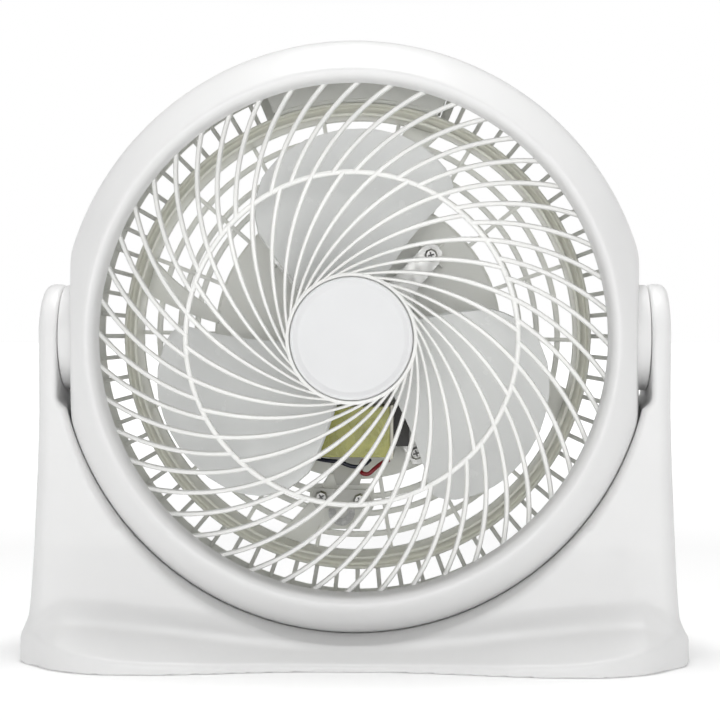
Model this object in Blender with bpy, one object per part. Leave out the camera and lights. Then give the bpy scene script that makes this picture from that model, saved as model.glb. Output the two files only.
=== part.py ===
"""Round-headed desk fan: a tilting head in a U-shaped stand, as an assembly of separate pieces.

Metres, +Z up. The origin is the middle of the footprint on the table. The front of the fan, where
the air leaves, faces -Y. Every dimension below is in millimetres and is multiplied by MM on use.
"""

import math

import bmesh
import bpy
from mathutils import Vector

MM = 0.001

# ---- driving dimensions, in millimetres -------------------------------------------------------
AXIS_Z = 168.5  # height of the tilt axis and of the blade axis
GAP = 0.3  # clearance between touching pieces

HEAD_R = 158.7  # largest radius of the head
FLAT_X = 153.0  # the head is flat at each side, where the stand's arms pass
WALL = 2.6  # moulded wall thickness
PARTING_Y = 30.0  # plane where the front ring meets the rear cover
BACK_Y = 49.0  # rear face of the head

LIP_R = 131.0  # front opening
SPOKE_W = 2.8
SPOKE_ARC_R = 125.0  # each spoke is an arc of this radius ...
SPOKE_ROOT_R = 31.4  # ... that starts as a tangent of this circle
MID_RING_R = 85.4
INNER_SPOKES = 32
OUTER_SPOKES = 48
HUB_R = 35.0
GRILLE_T = 3.0
GRILLE_Y = -48.0
GRILLE_DOME = 13.4  # how far back the grille has curved by the time it reaches its rim

BLADE_COUNT = 3
BLADE_TIP_R = 113.5
BLADE_HUB_R = 21.0
BLADE_DEPTH = 38.0  # front to back at the tips
BLADE_MIDDLE_Y = -13.0
SHAFT_R = 3.0
CORE_LOW = 20.0  # front of the motor's laminations
CORE_HIGH = 36.0
PLATE_Y = 37.5  # back of the motor's mounting plate

MOTOR_PLATE_R = 80.0
REAR_RING_RADII = (90.5, 100.0, 111.6)
DUCT_R = 120.6  # inside of the duct that the blades turn in
DUCT_OUTER_R = 129.7
REAR_RIM_R = 143.5
RIB_W = 2.2
HANDLE_HALF_ANGLE = 20.5  # degrees, each side of the top
CUP_IN_R = 131.2  # the finger pocket's cup, between two radii
CUP_OUT_R = 149.6

PIVOT_R = 28.0
BOWL_R = 163.8  # inside of the U of the stand
APRON_R = 160.3  # the lower middle of the U comes closer to the head
APRON_HALF_ANGLE = 51.0
CHEEK_X = 155.6  # inner faces of the arms
ARM_X = 165.8  # outside of the arms at the pivot
ARM_TOP_R = 28.5
BASE_X = 176.5
BASE_Y = 76.0
SHELL_Z = 1.2  # the shell's lower edge, just off the table
FOOT_AT = (132.0, 52.0)

KNOB_Z = 58.0  # the speed knob sits this far above the blade axis
MOTOR_EARS = ((-41.0, 45.0), (41.0, 45.0), (-33.0, -65.0), (33.0, -65.0))
GLAND_AT = (-9.0, -99.0)
CLAMP_SCREWS = ((-20.0, -89.5), (1.5, -91.0))
RED_ROUTE = ((6, 19, -68.2), (3.6, 16.5, -70.4), (7, 14, -73.6), (13, 15, -71.6), (17, 19, -68.4))
BLUE_ROUTE = ((-10, 17, -68.2), (-6, 14.5, -69.6), (-2, 14.2, -69.8), (0.4, 17, -68.2))


# ---- small tools ------------------------------------------------------------------------------
def clear_scene():
    for obj in list(bpy.data.objects):
        bpy.data.objects.remove(obj, do_unlink=True)


def material(name, color, roughness=0.5, metallic=0.0):
    mat = bpy.data.materials.get(name)
    if mat is None:
        mat = bpy.data.materials.new(name)
        mat.use_nodes = True
        shader = mat.node_tree.nodes["Principled BSDF"]
        shader.inputs["Base Color"].default_value = (*color, 1.0)
        shader.inputs["Roughness"].default_value = roughness
        shader.inputs["Metallic"].default_value = metallic
        mat.diffuse_color = (*color, 1.0)
    return mat


def white_plastic():
    return material("white_plastic", (0.86, 0.86, 0.86), 0.38)


def grey_plastic():
    return material("rear_plastic", (0.62, 0.62, 0.59), 0.5)


def screw_steel():
    return material("zinc_screw", (0.62, 0.62, 0.6), 0.35, 1.0)


def empty_at(name, location, parent=None):
    empty = bpy.data.objects.new(name, None)
    bpy.context.scene.collection.objects.link(empty)
    empty.location = Vector(location) * MM
    empty.parent = parent
    return empty


def add_mesh(name, points, faces, mat, parent=None):
    """One object from millimetre points and faces, with its normals turned outwards."""
    mesh = bpy.data.meshes.new(name)
    mesh.from_pydata([Vector(p) * MM for p in points], [], faces)
    bm = bmesh.new()
    bm.from_mesh(mesh)
    bmesh.ops.recalc_face_normals(bm, faces=bm.faces)
    bm.to_mesh(mesh)
    bm.free()
    mesh.shade_smooth()
    mesh.set_sharp_from_angle(angle=math.radians(35))
    obj = bpy.data.objects.new(name, mesh)
    bpy.context.scene.collection.objects.link(obj)
    obj.data.materials.append(mat)
    obj.parent = parent
    return obj


AXES = {
    "X": lambda r, h, a: (h, r * math.sin(a), r * math.cos(a)),
    "Y": lambda r, h, a: (r * math.sin(a), h, r * math.cos(a)),
    "Z": lambda r, h, a: (r * math.sin(a), r * math.cos(a), h),
}


def turned(profile, axis="Y", at=(0, 0, 0), segments=48):
    """Points and faces of a closed profile of (radius, height) points turned about an axis."""
    place = AXES[axis]
    points = []
    rings = []
    for radius, height in profile:
        count = 1 if radius < 1e-6 else segments
        start = len(points)
        for k in range(count):
            x, y, z = place(radius, height, math.tau * k / segments)
            points.append((x + at[0], y + at[1], z + at[2]))
        rings.append((start, count))
    faces = []
    for (a, count_a), (b, count_b) in zip(rings, rings[1:] + rings[:1]):
        for k in range(segments):
            following = (k + 1) % segments
            corners = [
                a + k % count_a,
                a + following % count_a,
                b + following % count_b,
                b + k % count_b,
            ]
            loop = list(dict.fromkeys(corners))
            if len(loop) > 2:
                faces.append(loop)
    return points, faces


def add_turned(name, profile, mat, parent=None, axis="Y", at=(0, 0, 0), segments=48):
    return add_mesh(name, *turned(profile, axis, at, segments), mat, parent)


def disc_profile(radius, low, high, hole=0.0, chamfer=0.0):
    """A flat disc, or a ring when it has a hole, with its outer edges broken."""
    outer = [(radius, low), (radius, high)]
    if chamfer:
        outer = [
            (radius - chamfer, low),
            (radius, low + chamfer),
            (radius, high - chamfer),
            (radius - chamfer, high),
        ]
    return [(hole, low)] + outer + [(hole, high)]


def filled(outline, holes):
    """Triangles over a flat outline in (x, z) with holes: its points, its faces and its borders."""
    bm = bmesh.new()
    edges = []
    loops = []
    for loop in [outline] + holes:
        corners = [bm.verts.new((x, 0.0, z)) for x, z in loop]
        loops.append(corners)
        for a, b in zip(corners, corners[1:] + corners[:1]):
            edges.append(bm.edges.new((a, b)))
    bmesh.ops.triangle_fill(bm, use_beauty=True, edges=edges, normal=(0, -1, 0))
    bm.verts.index_update()
    points = [(v.co.x, v.co.z) for v in bm.verts]
    faces = [[v.index for v in face.verts] for face in bm.faces]
    borders = [[v.index for v in loop] for loop in loops]
    bm.free()
    return points, faces, borders


def bridge(one, other):
    """Quads between two closed loops of the same number of points."""
    return [
        [a, b, d, c]
        for a, b, c, d in zip(one, one[1:] + one[:1], other, other[1:] + other[:1])
    ]


def plate(outline, holes, low, high):
    """Points and faces of a flat outline in (x, z) with holes, thick along Y.

    low and high are numbers, or functions of the distance from the axis.
    """
    front = low if callable(low) else lambda r: low
    back = high if callable(high) else lambda r: high
    flat, fill, borders = filled(outline, holes)
    count = len(flat)
    points = [(x, front(math.hypot(x, z)), z) for x, z in flat]
    points += [(x, back(math.hypot(x, z)), z) for x, z in flat]
    faces = fill + [[i + count for i in face] for face in fill]
    for loop in borders:
        faces += bridge(loop, [i + count for i in loop])
    return points, faces


def windowed_drum(windows, low, high, rim, segments):
    """A flat disc with windows whose edge turns forward as a round wall.

    rim runs (radius, y) from the disc's outer face, round the wall, to the disc's inner face.
    """
    outer, outer_fill, outer_loops = filled(circle(rim[0][0], segments), windows)
    inner, inner_fill, inner_loops = filled(circle(rim[-1][0], segments), windows)
    points = [(x, high, z) for x, z in outer] + [(x, low, z) for x, z in inner]
    count = len(outer)
    faces = outer_fill + [[i + count for i in face] for face in inner_fill]
    for one, other in zip(outer_loops[1:], inner_loops[1:]):
        faces += bridge(one, [i + count for i in other])
    previous = outer_loops[0]
    for radius, y in rim[1:-1]:
        ring = list(range(len(points), len(points) + segments))
        points += [(x, y, z) for x, z in circle(radius, segments)]
        faces += bridge(previous, ring)
        previous = ring
    faces += bridge(previous, [i + count for i in inner_loops[0]])
    return points, faces


def circle(radius, count, at=(0.0, 0.0)):
    """Points (x, z), clockwise from the top as seen from the front."""
    angles = [math.tau * k / count for k in range(count)]
    return [(at[0] + radius * math.sin(a), at[1] + radius * math.cos(a)) for a in angles]


def polar(radius, angle):
    """(x, z) at an angle in radians, clockwise from the top as seen from the front."""
    return (radius * math.sin(angle), radius * math.cos(angle))


def box(name, low, high, mat, parent=None):
    spans = list(zip(low, high))
    points = [(x, y, z) for x in spans[0] for y in spans[1] for z in spans[2]]
    faces = [[0, 1, 3, 2], [4, 6, 7, 5], [0, 4, 5, 1], [2, 3, 7, 6], [0, 2, 6, 4], [1, 5, 7, 3]]
    return add_mesh(name, points, faces, mat, parent)


def combine(target, operation, others):
    """Boolean modifiers on target; the other objects stay as hidden guides."""
    for other in others:
        other.hide_render = True
        other.display_type = "WIRE"
        modifier = target.modifiers.new(operation.lower() + "_" + other.name, "BOOLEAN")
        modifier.operation = operation
        modifier.object = other
        modifier.solver = "EXACT"
    return target


def cutter(name, shape, parent=None):
    return add_mesh("cut_" + name, *shape, material("guide", (1, 0, 0)), parent)


def screw(name, at, direction, mat, parent, head_r=3.6, head_h=2.2, shank_r=1.7, length=10.0):
    """A pan-head screw whose head's underside is at a point, its shank along a unit direction."""
    profile = [
        (0, length),
        (shank_r * 0.55, length),
        (shank_r, length - 1.5),
        (shank_r, 0),
        (head_r, 0),
        (head_r, -head_h * 0.55),
        (head_r * 0.72, -head_h),
        (0, -head_h),
    ]
    obj = add_turned(name, profile, mat, parent, axis="Z", segments=8)
    obj.rotation_mode = "QUATERNION"
    obj.rotation_quaternion = Vector(direction).to_track_quat("Z", "Y")
    obj.location = Vector(at) * MM
    return obj


# ---- the stand --------------------------------------------------------------------------------
def rounded_outline(half_x, half_y, corner, recess, count=4, across=4):
    """Closed loop of (x, y) round a rectangle whose long sides dip in by recess in the middle."""
    corner = min(corner, half_y - 0.5, half_x - 0.5)
    loop = []
    for sign_x, sign_y, start in ((1, -1, -90), (1, 1, 0), (-1, 1, 90), (-1, -1, 180)):
        middle = (sign_x * (half_x - corner), sign_y * (half_y - corner))
        for k in range(count + 1):
            a = math.radians(start + 90 * k / count)
            loop.append((middle[0] + corner * math.cos(a), middle[1] + corner * math.sin(a)))
        if start in (0, 180):
            span = half_x - corner
            for k in range(1, across):
                x = sign_x * span * (1 - 2 * k / across)
                y = sign_y * (half_y - recess * (1 - (x / span) ** 2))
                loop.append((x, y))
    return loop


def between(stops, z):
    """Straight-line reading of a table of (height, value)."""
    for (z0, v0), (z1, v1) in zip(stops, stops[1:]):
        if z <= z1:
            return v0 + (v1 - v0) * max(0.0, (z - z0) / (z1 - z0))
    return stops[-1][1]


def stand_half_width(z):
    """Outer half width of the stand at a height: a flared foot, then an almost straight side."""
    stops = ((11.5, BASE_X), (15, 174.2), (20, 171.4), (26, 169.8), (34, 168.7))
    return between(stops + ((80, 167.2), (130, ARM_X), (200, ARM_X)), z)


def stand_half_depth(z):
    """Front-to-back half depth: the base slopes up to the body, whose arms end round."""
    if z > AXIS_Z:
        return math.sqrt(max(ARM_TOP_R**2 - (z - AXIS_Z) ** 2, 16.0))
    stops = ((11.5, BASE_Y), (15, 66.0), (20, 54.5), (26, 43.5), (34, 39.4))
    return between(stops + ((60, 34.0), (110, 30.0), (AXIS_Z, ARM_TOP_R)), z)


def stand_loft(inset, levels):
    """Stacked outlines of the stand, each drawn in by inset."""
    points = []
    faces = []
    size = 0
    for level in levels:
        low = level <= 11.5
        corner = 48.0 if low else max(6.5, 48.0 * max(0.0, 1 - (level - 11.5) / 17.0))
        half_x = stand_half_width(level) - inset
        if level > AXIS_Z + 24.0:
            half_x -= 2.5
        half_y = stand_half_depth(level) - inset
        recess = 12.0 * max(0.0, 1 - max(0.0, level - 11.5) / 12.0)
        loop = rounded_outline(half_x, half_y, corner - inset * 0.5, recess)
        size = len(loop)
        for x, y in loop:
            rim = 1.0 if level != 11.5 else 0.45 + 0.55 * min(1.0, abs(x) / 150.0) ** 1.6
            points.append((x, y, max(level * rim - (inset if level > 4 else 0), levels[0])))
    for ring in range(len(levels) - 1):
        for k in range(size):
            a = ring * size + k
            b = ring * size + (k + 1) % size
            faces.append([a, b, b + size, a + size])
    faces.append(list(range(size)))
    faces.append([len(points) - size + k for k in range(size)])
    return points, faces


def bowl_outline(extra):
    """The space that the head turns in, as (x, z) seen from the front, open at the top.

    A round floor between two upright flat cheeks.
    """
    cheek = CHEEK_X + extra
    steps = 44
    half = math.radians(APRON_HALF_ANGLE)
    loop = []
    for k in range(steps + 1):
        angle = math.radians(70) + math.radians(220) * k / steps
        near = abs(angle - math.pi) < half
        x, z = polar((APRON_R if near else BOWL_R) + extra, angle)
        if abs(x) < cheek - 1.0 and z < 0:
            loop.append((x, z))
    corner = -math.sqrt((BOWL_R + extra) ** 2 - cheek**2)
    return [(cheek, 90.0), (cheek, corner)] + loop + [(-cheek, corner), (-cheek, 90.0)]


def build_stand():
    shell_mat = white_plastic()
    levels = [SHELL_Z, 11.5, 15.0, 20.0, 26.0, 34.0, 46.0, 90.0, AXIS_Z]
    levels += [AXIS_Z + ARM_TOP_R * math.sin(math.radians(a)) for a in (26, 48, 66, 81)]
    stand = add_mesh("stand", *stand_loft(0.0, levels), shell_mat)

    pivot = (0, 0, AXIS_Z)
    bowl = cutter("bowl", plate(bowl_outline(0.0), [], -90, 90))
    bowl.location = Vector(pivot) * MM

    inner_levels = [0.0, 11.5, 15.0, 20.0, 26.0, 34.0, 46.0, 90.0, 118.0]
    hollow = cutter("stand_hollow", stand_loft(WALL, inner_levels))
    bowl_skin = cutter("bowl_skin", plate(bowl_outline(WALL), [], -95, 95))
    bowl_skin.location = Vector(pivot) * MM
    combine(hollow, "DIFFERENCE", [bowl_skin])
    combine(stand, "DIFFERENCE", [bowl, hollow])

    for side, sign in (("left", -1), ("right", 1)):
        hole = [(0, 150 * sign), (3.4, 150 * sign), (3.4, 175 * sign), (0, 175 * sign)]
        bore = cutter("arm_bore_" + side, turned(hole, "X", pivot, 20))
        seat = [(0, 161 * sign), (9.0, 161 * sign), (9.0, 175 * sign), (0, 175 * sign)]
        pocket = cutter("arm_pocket_" + side, turned(seat, "X", pivot, 28))
        combine(stand, "DIFFERENCE", [bore, pocket])

    for index, (sx, sy) in enumerate(((-1, -1), (1, -1), (-1, 1), (1, 1))):
        at = (sx * 150.0, sy * 36.0, 0)
        post = cutter("post_%d" % index, turned(disc_profile(4.5, 4.8, 30.0), "Z", at, 14))
        combine(stand, "UNION", [post])
        core = cutter("post_bore_%d" % index, turned(disc_profile(1.9, 4.0, 15.0), "Z", at, 12))
        combine(stand, "DIFFERENCE", [core])
    return stand


def build_base_plate():
    grey = material("base_plate", (0.7, 0.7, 0.7), 0.55)
    inset = WALL + 1.2
    loop = rounded_outline(BASE_X - inset, BASE_Y - inset, 48.0 - inset, 12.5)
    low, high = 2.4, 4.4
    size = len(loop)
    points = [(x, y, low) for x, y in loop] + [(x, y, high) for x, y in loop]
    faces = [list(range(size)), [k + size for k in range(size)]]
    faces += [[k, (k + 1) % size, (k + 1) % size + size, k + size] for k in range(size)]
    base = add_mesh("base_plate", points, faces, grey)
    rubber = material("foot_rubber", (0.08, 0.08, 0.08), 0.8)
    steel = screw_steel()
    foot_profile = [(0, 0), (8.0, 0), (9.0, 1.0), (9.0, 2.1), (3.4, 2.1), (3.4, 6.0), (0, 6.0)]
    for name, sx, sy in (("fl", -1, -1), ("fr", 1, -1), ("rl", -1, 1), ("rr", 1, 1)):
        at = (sx * FOOT_AT[0], sy * FOOT_AT[1], 0)
        add_turned("foot_" + name, foot_profile, rubber, None, "Z", at, 16)
        foot_hole = cutter("foot_hole_" + name, turned(disc_profile(3.7, 0, 9), "Z", at, 16))
        at = (sx * 150.0, sy * 36.0, 0)
        screw_hole = cutter("plate_hole_" + name, turned(disc_profile(1.95, 0, 9), "Z", at, 12))
        combine(base, "DIFFERENCE", [foot_hole, screw_hole])
        place = (at[0], at[1], 2.1)
        screw("base_screw_" + name, place, (0, 0, 1), steel, None, 3.6, 1.4, 1.5, 9.0)


def build_pivot_caps():
    for side, sign in (("left", -1), ("right", 1)):
        profile = [(0, 164.0), (8.6, 164.0), (8.6, 165.2), (7.6, 165.8), (0, 165.8)]
        profile = [(r, x * sign) for r, x in profile]
        add_turned("pivot_cap_" + side, profile, white_plastic(), None, "X", (0, 0, AXIS_Z), 28)


# ---- the head ---------------------------------------------------------------------------------
RING_PROFILE = (
    (LIP_R, -36.0),
    (132.4, -40.5),
    (136.4, -45.6),
    (141.5, -48.0),
    (147.5, -46.4),
    (153.0, -39.5),
    (157.0, -24.0),
    (HEAD_R, -4.0),
    (156.6, PARTING_Y),
)


def inset_profile(profile, wall):
    """The same run of (radius, y) points, moved inwards by the wall thickness."""
    result = []
    for index, point in enumerate(profile):
        before = profile[max(index - 1, 0)]
        after = profile[min(index + 1, len(profile) - 1)]
        run = Vector((after[0] - before[0], after[1] - before[1])).normalized()
        result.append((point[0] - run.y * wall, point[1] + run.x * wall))
    return result


def side_slab(name, half_x, parent):
    return box("cut_" + name, (-half_x, -80, -200), (half_x, 80, 200), white_plastic(), parent)


def add_side_flats(target, name, profile, low, high, half_z, head, segments):
    """Closes the shell where both sides are cut flat: a wall inside each side, then one trim."""
    middle = inset_profile(profile, WALL / 2)
    inside = [(0, middle[0][1])] + middle + [(0, middle[-1][1])]
    for side, sign in (("left", -1), ("right", 1)):
        near = sign * (FLAT_X - WALL)
        corners = ((min(near, sign * 165), low, -half_z), (max(near, sign * 165), high, half_z))
        flat = box("cut_%s_flat_%s" % (name, side), *corners, white_plastic(), head)
        within = cutter("%s_within_%s" % (name, side), turned(inside, "Y", segments=segments), head)
        combine(flat, "INTERSECT", [within])
        combine(target, "UNION", [flat])
    combine(target, "INTERSECT", [side_slab(name + "_sides", FLAT_X, head)])


def build_front_ring(head):
    segments = 48
    outer = list(RING_PROFILE)
    shell = outer + inset_profile(outer, WALL)[::-1]
    ring = add_turned("front_ring", shell, white_plastic(), head, "Y", segments=segments)
    add_side_flats(ring, "ring", outer, -60, PARTING_Y, 52, head, segments)
    for side, sign in (("left", -1), ("right", 1)):
        end = sign * (CHEEK_X - GAP)
        profile = [(0, sign * 151.5), (PIVOT_R, sign * 151.5), (PIVOT_R, end), (0, end)]
        boss = cutter("pivot_boss_" + side, turned(profile, "X", segments=32), head)
        bore = [(0, sign * 140), (3.35, sign * 140), (3.35, sign * 170), (0, sign * 170)]
        hole = cutter("pivot_bore_" + side, turned(bore, "X", segments=16), head)
        combine(ring, "UNION", [boss])
        combine(ring, "DIFFERENCE", [hole])
    return ring


def spoke_angle(radius, arc):
    """How far round an arc, tangent near the hub, has gone at a distance from the axis."""
    offset = SPOKE_ARC_R - SPOKE_ROOT_R
    turn = math.acos((offset**2 + arc**2 - radius**2) / (2 * arc * offset))
    around = math.atan2(arc * math.sin(turn), arc * math.cos(turn) - offset)
    return around + math.radians(4.9 - 0.031 * radius)


def spoke_window(start, pitch, inner_r, outer_r, steps):
    """The opening between a spoke and the next one, between two radii."""
    trailing = SPOKE_ARC_R - SPOKE_W / 2
    leading = SPOKE_ARC_R + SPOKE_W / 2
    radii = [inner_r + (outer_r - inner_r) * k / steps for k in range(steps + 1)]
    one = [polar(r, start + spoke_angle(r, trailing)) for r in radii]
    other = [polar(r, start + pitch + spoke_angle(r, leading)) for r in radii]
    return one + other[::-1]


def window_start(pitch, least):
    """The radius at which neighbouring spokes have parted by a least width."""
    radius = HUB_R
    while True:
        trailing = spoke_angle(radius, SPOKE_ARC_R - SPOKE_W / 2)
        leading = pitch + spoke_angle(radius, SPOKE_ARC_R + SPOKE_W / 2)
        if radius * (leading - trailing) > least:
            return radius
        radius += 0.25


def grille_front(radius):
    curve = max(0.0, (radius - 87.0) / (LIP_R - 87.0))
    return GRILLE_Y + GRILLE_DOME * min(curve, 1.0) ** 1.5


def grille_windows():
    windows = []
    inner_pitch = math.tau / INNER_SPOKES
    outer_pitch = math.tau / OUTER_SPOKES
    phase = math.radians(4.95)
    first = window_start(inner_pitch, 0.9)
    for k in range(INNER_SPOKES):
        start = phase + k * inner_pitch
        windows.append(spoke_window(start, inner_pitch, first, MID_RING_R - SPOKE_W / 2, 3))
    for k in range(OUTER_SPOKES):
        start = phase + k * outer_pitch
        windows.append(spoke_window(start, outer_pitch, MID_RING_R + SPOKE_W / 2, LIP_R + 1.2, 2))
    return windows


def build_front_grille(head):
    outline = circle(136.6, 60)
    shape = plate(outline, grille_windows(), grille_front, lambda r: grille_front(r) + GRILLE_T)
    add_mesh("front_grille", *shape, white_plastic(), head)
    cap = [(0, -51.0), (29.5, -51.0), (31.5, -49.8), (31.5, GRILLE_Y - GAP), (0, GRILLE_Y - GAP)]
    add_turned("hub_cap", cap, material("cap_plastic", (0.74, 0.745, 0.75), 0.42), head)


def sector(inner_r, outer_r, half_angle, steps, centre=0.0):
    """(x, z) outline of part of a ring, centred on an angle clockwise from the top."""
    angles = [centre - half_angle + 2 * half_angle * k / steps for k in range(steps + 1)]
    loop = [polar(outer_r, a) for a in angles]
    return loop + [polar(inner_r, a) for a in reversed(angles)]


def rib_window(inner_r, outer_r, start, end, rib):
    """The opening between two straight radial ribs of one width."""
    corners = []
    for radius, first, last in ((inner_r, start, end), (outer_r, end, start)):
        edge = math.asin(rib / 2 / radius)
        corners.append(polar(radius, first + (edge if first == start else -edge)))
        if end - start > 0.2:
            corners.append(polar(radius, (start + end) / 2))
        corners.append(polar(radius, last + (edge if last == start else -edge)))
    return corners


def rear_windows():
    windows = []
    ring_half = 1.1
    bounds = [MOTOR_PLATE_R]
    for radius in REAR_RING_RADII:
        bounds += [radius - ring_half, radius + ring_half]
    bounds.append(DUCT_R)
    for inner_r, outer_r in zip(bounds[::2], bounds[1::2]):
        for k in range(18):
            start = math.radians(11 + 20 * k)
            windows.append(rib_window(inner_r, outer_r, start, start + math.radians(20), RIB_W))
    for k in range(72):
        start = 5.0 * k
        middle = (start + 2.5 + 180) % 360 - 180
        if abs(middle) > HANDLE_HALF_ANGLE + 2:
            ends = (math.radians(start), math.radians(start + 5))
            windows.append(rib_window(DUCT_OUTER_R, REAR_RIM_R - 1.5, *ends, RIB_W))
    return windows


DRUM_PROFILE = (
    (REAR_RIM_R, BACK_Y),
    (151.6, 44.2),
    (155.4, 37.5),
    (156.6, PARTING_Y + GAP),
)


def build_rear_cover(head):
    low = BACK_Y - 3.0
    segments = 60
    outer = list(DRUM_PROFILE)
    inner = inset_profile(outer[::-1], WALL)
    inner[0] = (inner[0][0], PARTING_Y + GAP)
    inner[-1] = (REAR_RIM_R - 1.0, low)
    shape = windowed_drum(rear_windows(), low, BACK_Y, outer + inner, segments)
    cover = add_mesh("rear_cover", *shape, grey_plastic(), head)
    add_side_flats(cover, "drum", outer[::-1], PARTING_Y + GAP, 60, 44, head, segments)

    half = math.radians(HANDLE_HALF_ANGLE)
    window = plate(sector(CUP_IN_R - GAP, CUP_OUT_R + GAP, half + 0.0025, 8), [], 20.0, 60.0)
    combine(cover, "DIFFERENCE", [cutter("handle_window", window, head)])

    for index, (x, z) in enumerate(MOTOR_EARS):
        post_shape = turned(disc_profile(5.0, PLATE_Y + GAP, low + 1), "Y", (x, 0, z), 12)
        core_shape = turned(disc_profile(1.9, 30.0, 45.0), "Y", (x, 0, z), 8)
        combine(cover, "UNION", [cutter("motor_post_%d" % index, post_shape, head)])
        combine(cover, "DIFFERENCE", [cutter("motor_core_%d" % index, core_shape, head)])

    pad = [(-27, -85), (9, -85), (9, -96), (1, -108.5), (-19, -108.5), (-27, -97)]
    combine(cover, "UNION", [cutter("lead_pad", plate(pad, [], 44.4, BACK_Y - 0.5), head)])
    for index, (x, z) in enumerate(CLAMP_SCREWS):
        post_shape = turned(disc_profile(4.2, 37.3, low), "Y", (x, 0, z), 12)
        core_shape = turned(disc_profile(1.8, 30.0, 45.0), "Y", (x, 0, z), 8)
        combine(cover, "UNION", [cutter("clamp_post_%d" % index, post_shape, head)])
        combine(cover, "DIFFERENCE", [cutter("clamp_core_%d" % index, core_shape, head)])
    for name, radius, x, z in (("switch", 5.0, 0, KNOB_Z), ("gland", 5.8, *GLAND_AT)):
        hole = turned(disc_profile(radius, 40.0, 60.0), "Y", (x, 0, z), 18)
        combine(cover, "DIFFERENCE", [cutter(name + "_hole", hole, head)])
    return cover


def build_handle_cup(head):
    """The pocket for the carrying fingers: a cup set in the top of the cover, open to the back."""
    half = math.radians(HANDLE_HALF_ANGLE)
    block = plate(sector(CUP_IN_R, CUP_OUT_R, half, 8), [], PARTING_Y - 1.4, BACK_Y)
    inner = sector(CUP_IN_R + 2.0, CUP_OUT_R - 2.0, half - 0.016, 8)
    cup = add_mesh("handle_cup", *block, grey_plastic(), head)
    space = cutter("handle_space", plate(inner, [], PARTING_Y + 0.8, 60.0), head)
    combine(cup, "DIFFERENCE", [space])
    drum = [(0, BACK_Y)] + list(DRUM_PROFILE) + [(DRUM_PROFILE[-1][0], 20.0), (0, 20.0)]
    combine(cup, "INTERSECT", [cutter("handle_crown", turned(drum, "Y", segments=60), head)])


def build_duct(head):
    """The round channel that the blades turn in, standing on the rear cover's plain band."""
    seat = BACK_Y - 3.0 - GAP
    profile = [
        (DUCT_R, 20.0),
        (DUCT_R + 2.0, 20.0),
        (DUCT_R + 2.0, seat - 2.0),
        (DUCT_OUTER_R - 2.0, seat - 2.0),
        (DUCT_OUTER_R - 2.0, 37.0),
        (DUCT_OUTER_R, 37.0),
        (DUCT_OUTER_R, seat),
        (DUCT_R, seat),
    ]
    beige = material("duct_plastic", (0.5, 0.5, 0.44), 0.5)
    add_turned("duct_ring", profile, beige, head, segments=56)


# ---- the impeller -----------------------------------------------------------------------------
def blade_shape(turn):
    """One blade: a twisted, cambered sheet, wider outside, with a round trailing tip."""
    root_r = BLADE_HUB_R - 1.6
    radii = (root_r, 38.0, 62.0, 86.0, 103.0, BLADE_TIP_R)
    chord_steps = 6
    thickness = 1.7
    points = []
    for side in (-1, 1):
        for radius in radii:
            share = (radius - root_r) / (BLADE_TIP_R - root_r)
            trailing = math.radians(-38.0 + 3.0 * share + 44.0 * share**5)
            leading = math.radians(33.0 + 9.0 * share - 26.0 * share**6)
            depth = BLADE_DEPTH * (0.78 + 0.22 * share)
            for k in range(chord_steps + 1):
                t = k / chord_steps
                angle = turn + trailing + (leading - trailing) * t
                y = BLADE_MIDDLE_Y + depth * (t - 0.5 - 0.42 * share * t * (1 - t))
                x, z = polar(radius, angle)
                points.append((x, y + side * thickness / 2, z))
    across = chord_steps + 1
    half = len(radii) * across
    faces = []
    for row in range(len(radii) - 1):
        for k in range(chord_steps):
            a = row * across + k
            quad = [a, a + 1, a + across + 1, a + across]
            faces += [quad, [i + half for i in quad]]
    edge = list(range(across))
    edge += [(row + 1) * across - 1 for row in range(1, len(radii))]
    edge += [(len(radii) - 1) * across + k for k in range(chord_steps - 1, -1, -1)]
    edge += [row * across for row in range(len(radii) - 2, 0, -1)]
    faces += bridge(edge, [i + half for i in edge])
    return points, faces


def build_impeller(spin):
    mat = material("blade_plastic", (0.66, 0.67, 0.66), 0.3)
    bore = SHAFT_R + GAP
    hub_profile = [
        (bore, -31.0),
        (17.5, -31.0),
        (BLADE_HUB_R, -27.5),
        (BLADE_HUB_R, 7.0),
        (BLADE_HUB_R - 2.5, 7.0),
        (BLADE_HUB_R - 3.5, -26.0),
        (8.0, -28.0),
        (8.0, 7.0),
        (bore, 7.0),
    ]
    fan = add_turned("fan_blades", hub_profile, mat, spin, segments=28)
    for index in range(BLADE_COUNT):
        turn = math.radians(-8.0 + 360.0 / BLADE_COUNT * index)
        combine(fan, "UNION", [cutter("blade_%d" % index, blade_shape(turn), spin)])
    steel = material("shaft_steel", (0.6, 0.6, 0.62), 0.25, 1.0)
    add_turned("motor_shaft", disc_profile(SHAFT_R, -38.0, 43.5, chamfer=0.5), steel, spin, segments=16)
    nut_mat = material("blade_nut", (0.3, 0.3, 0.3), 0.5)
    nut_profile = [(bore, -36.5), (7.0, -36.5), (8.5, -34.5), (8.5, -31.3), (bore, -31.3)]
    add_turned("blade_nut", nut_profile, nut_mat, spin, segments=12)
    rotor_mat = material("rotor_core", (0.45, 0.45, 0.46), 0.4, 1.0)
    rotor = disc_profile(14.6, CORE_LOW + 0.4, CORE_HIGH - 0.4, bore)
    add_turned("rotor", rotor, rotor_mat, spin, segments=24)
    washer_mat = material("thrust_washer", (0.75, 0.72, 0.6), 0.5)
    add_turned("thrust_washer", disc_profile(5.0, 8.0, 9.0, bore), washer_mat, spin, segments=12)


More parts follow.
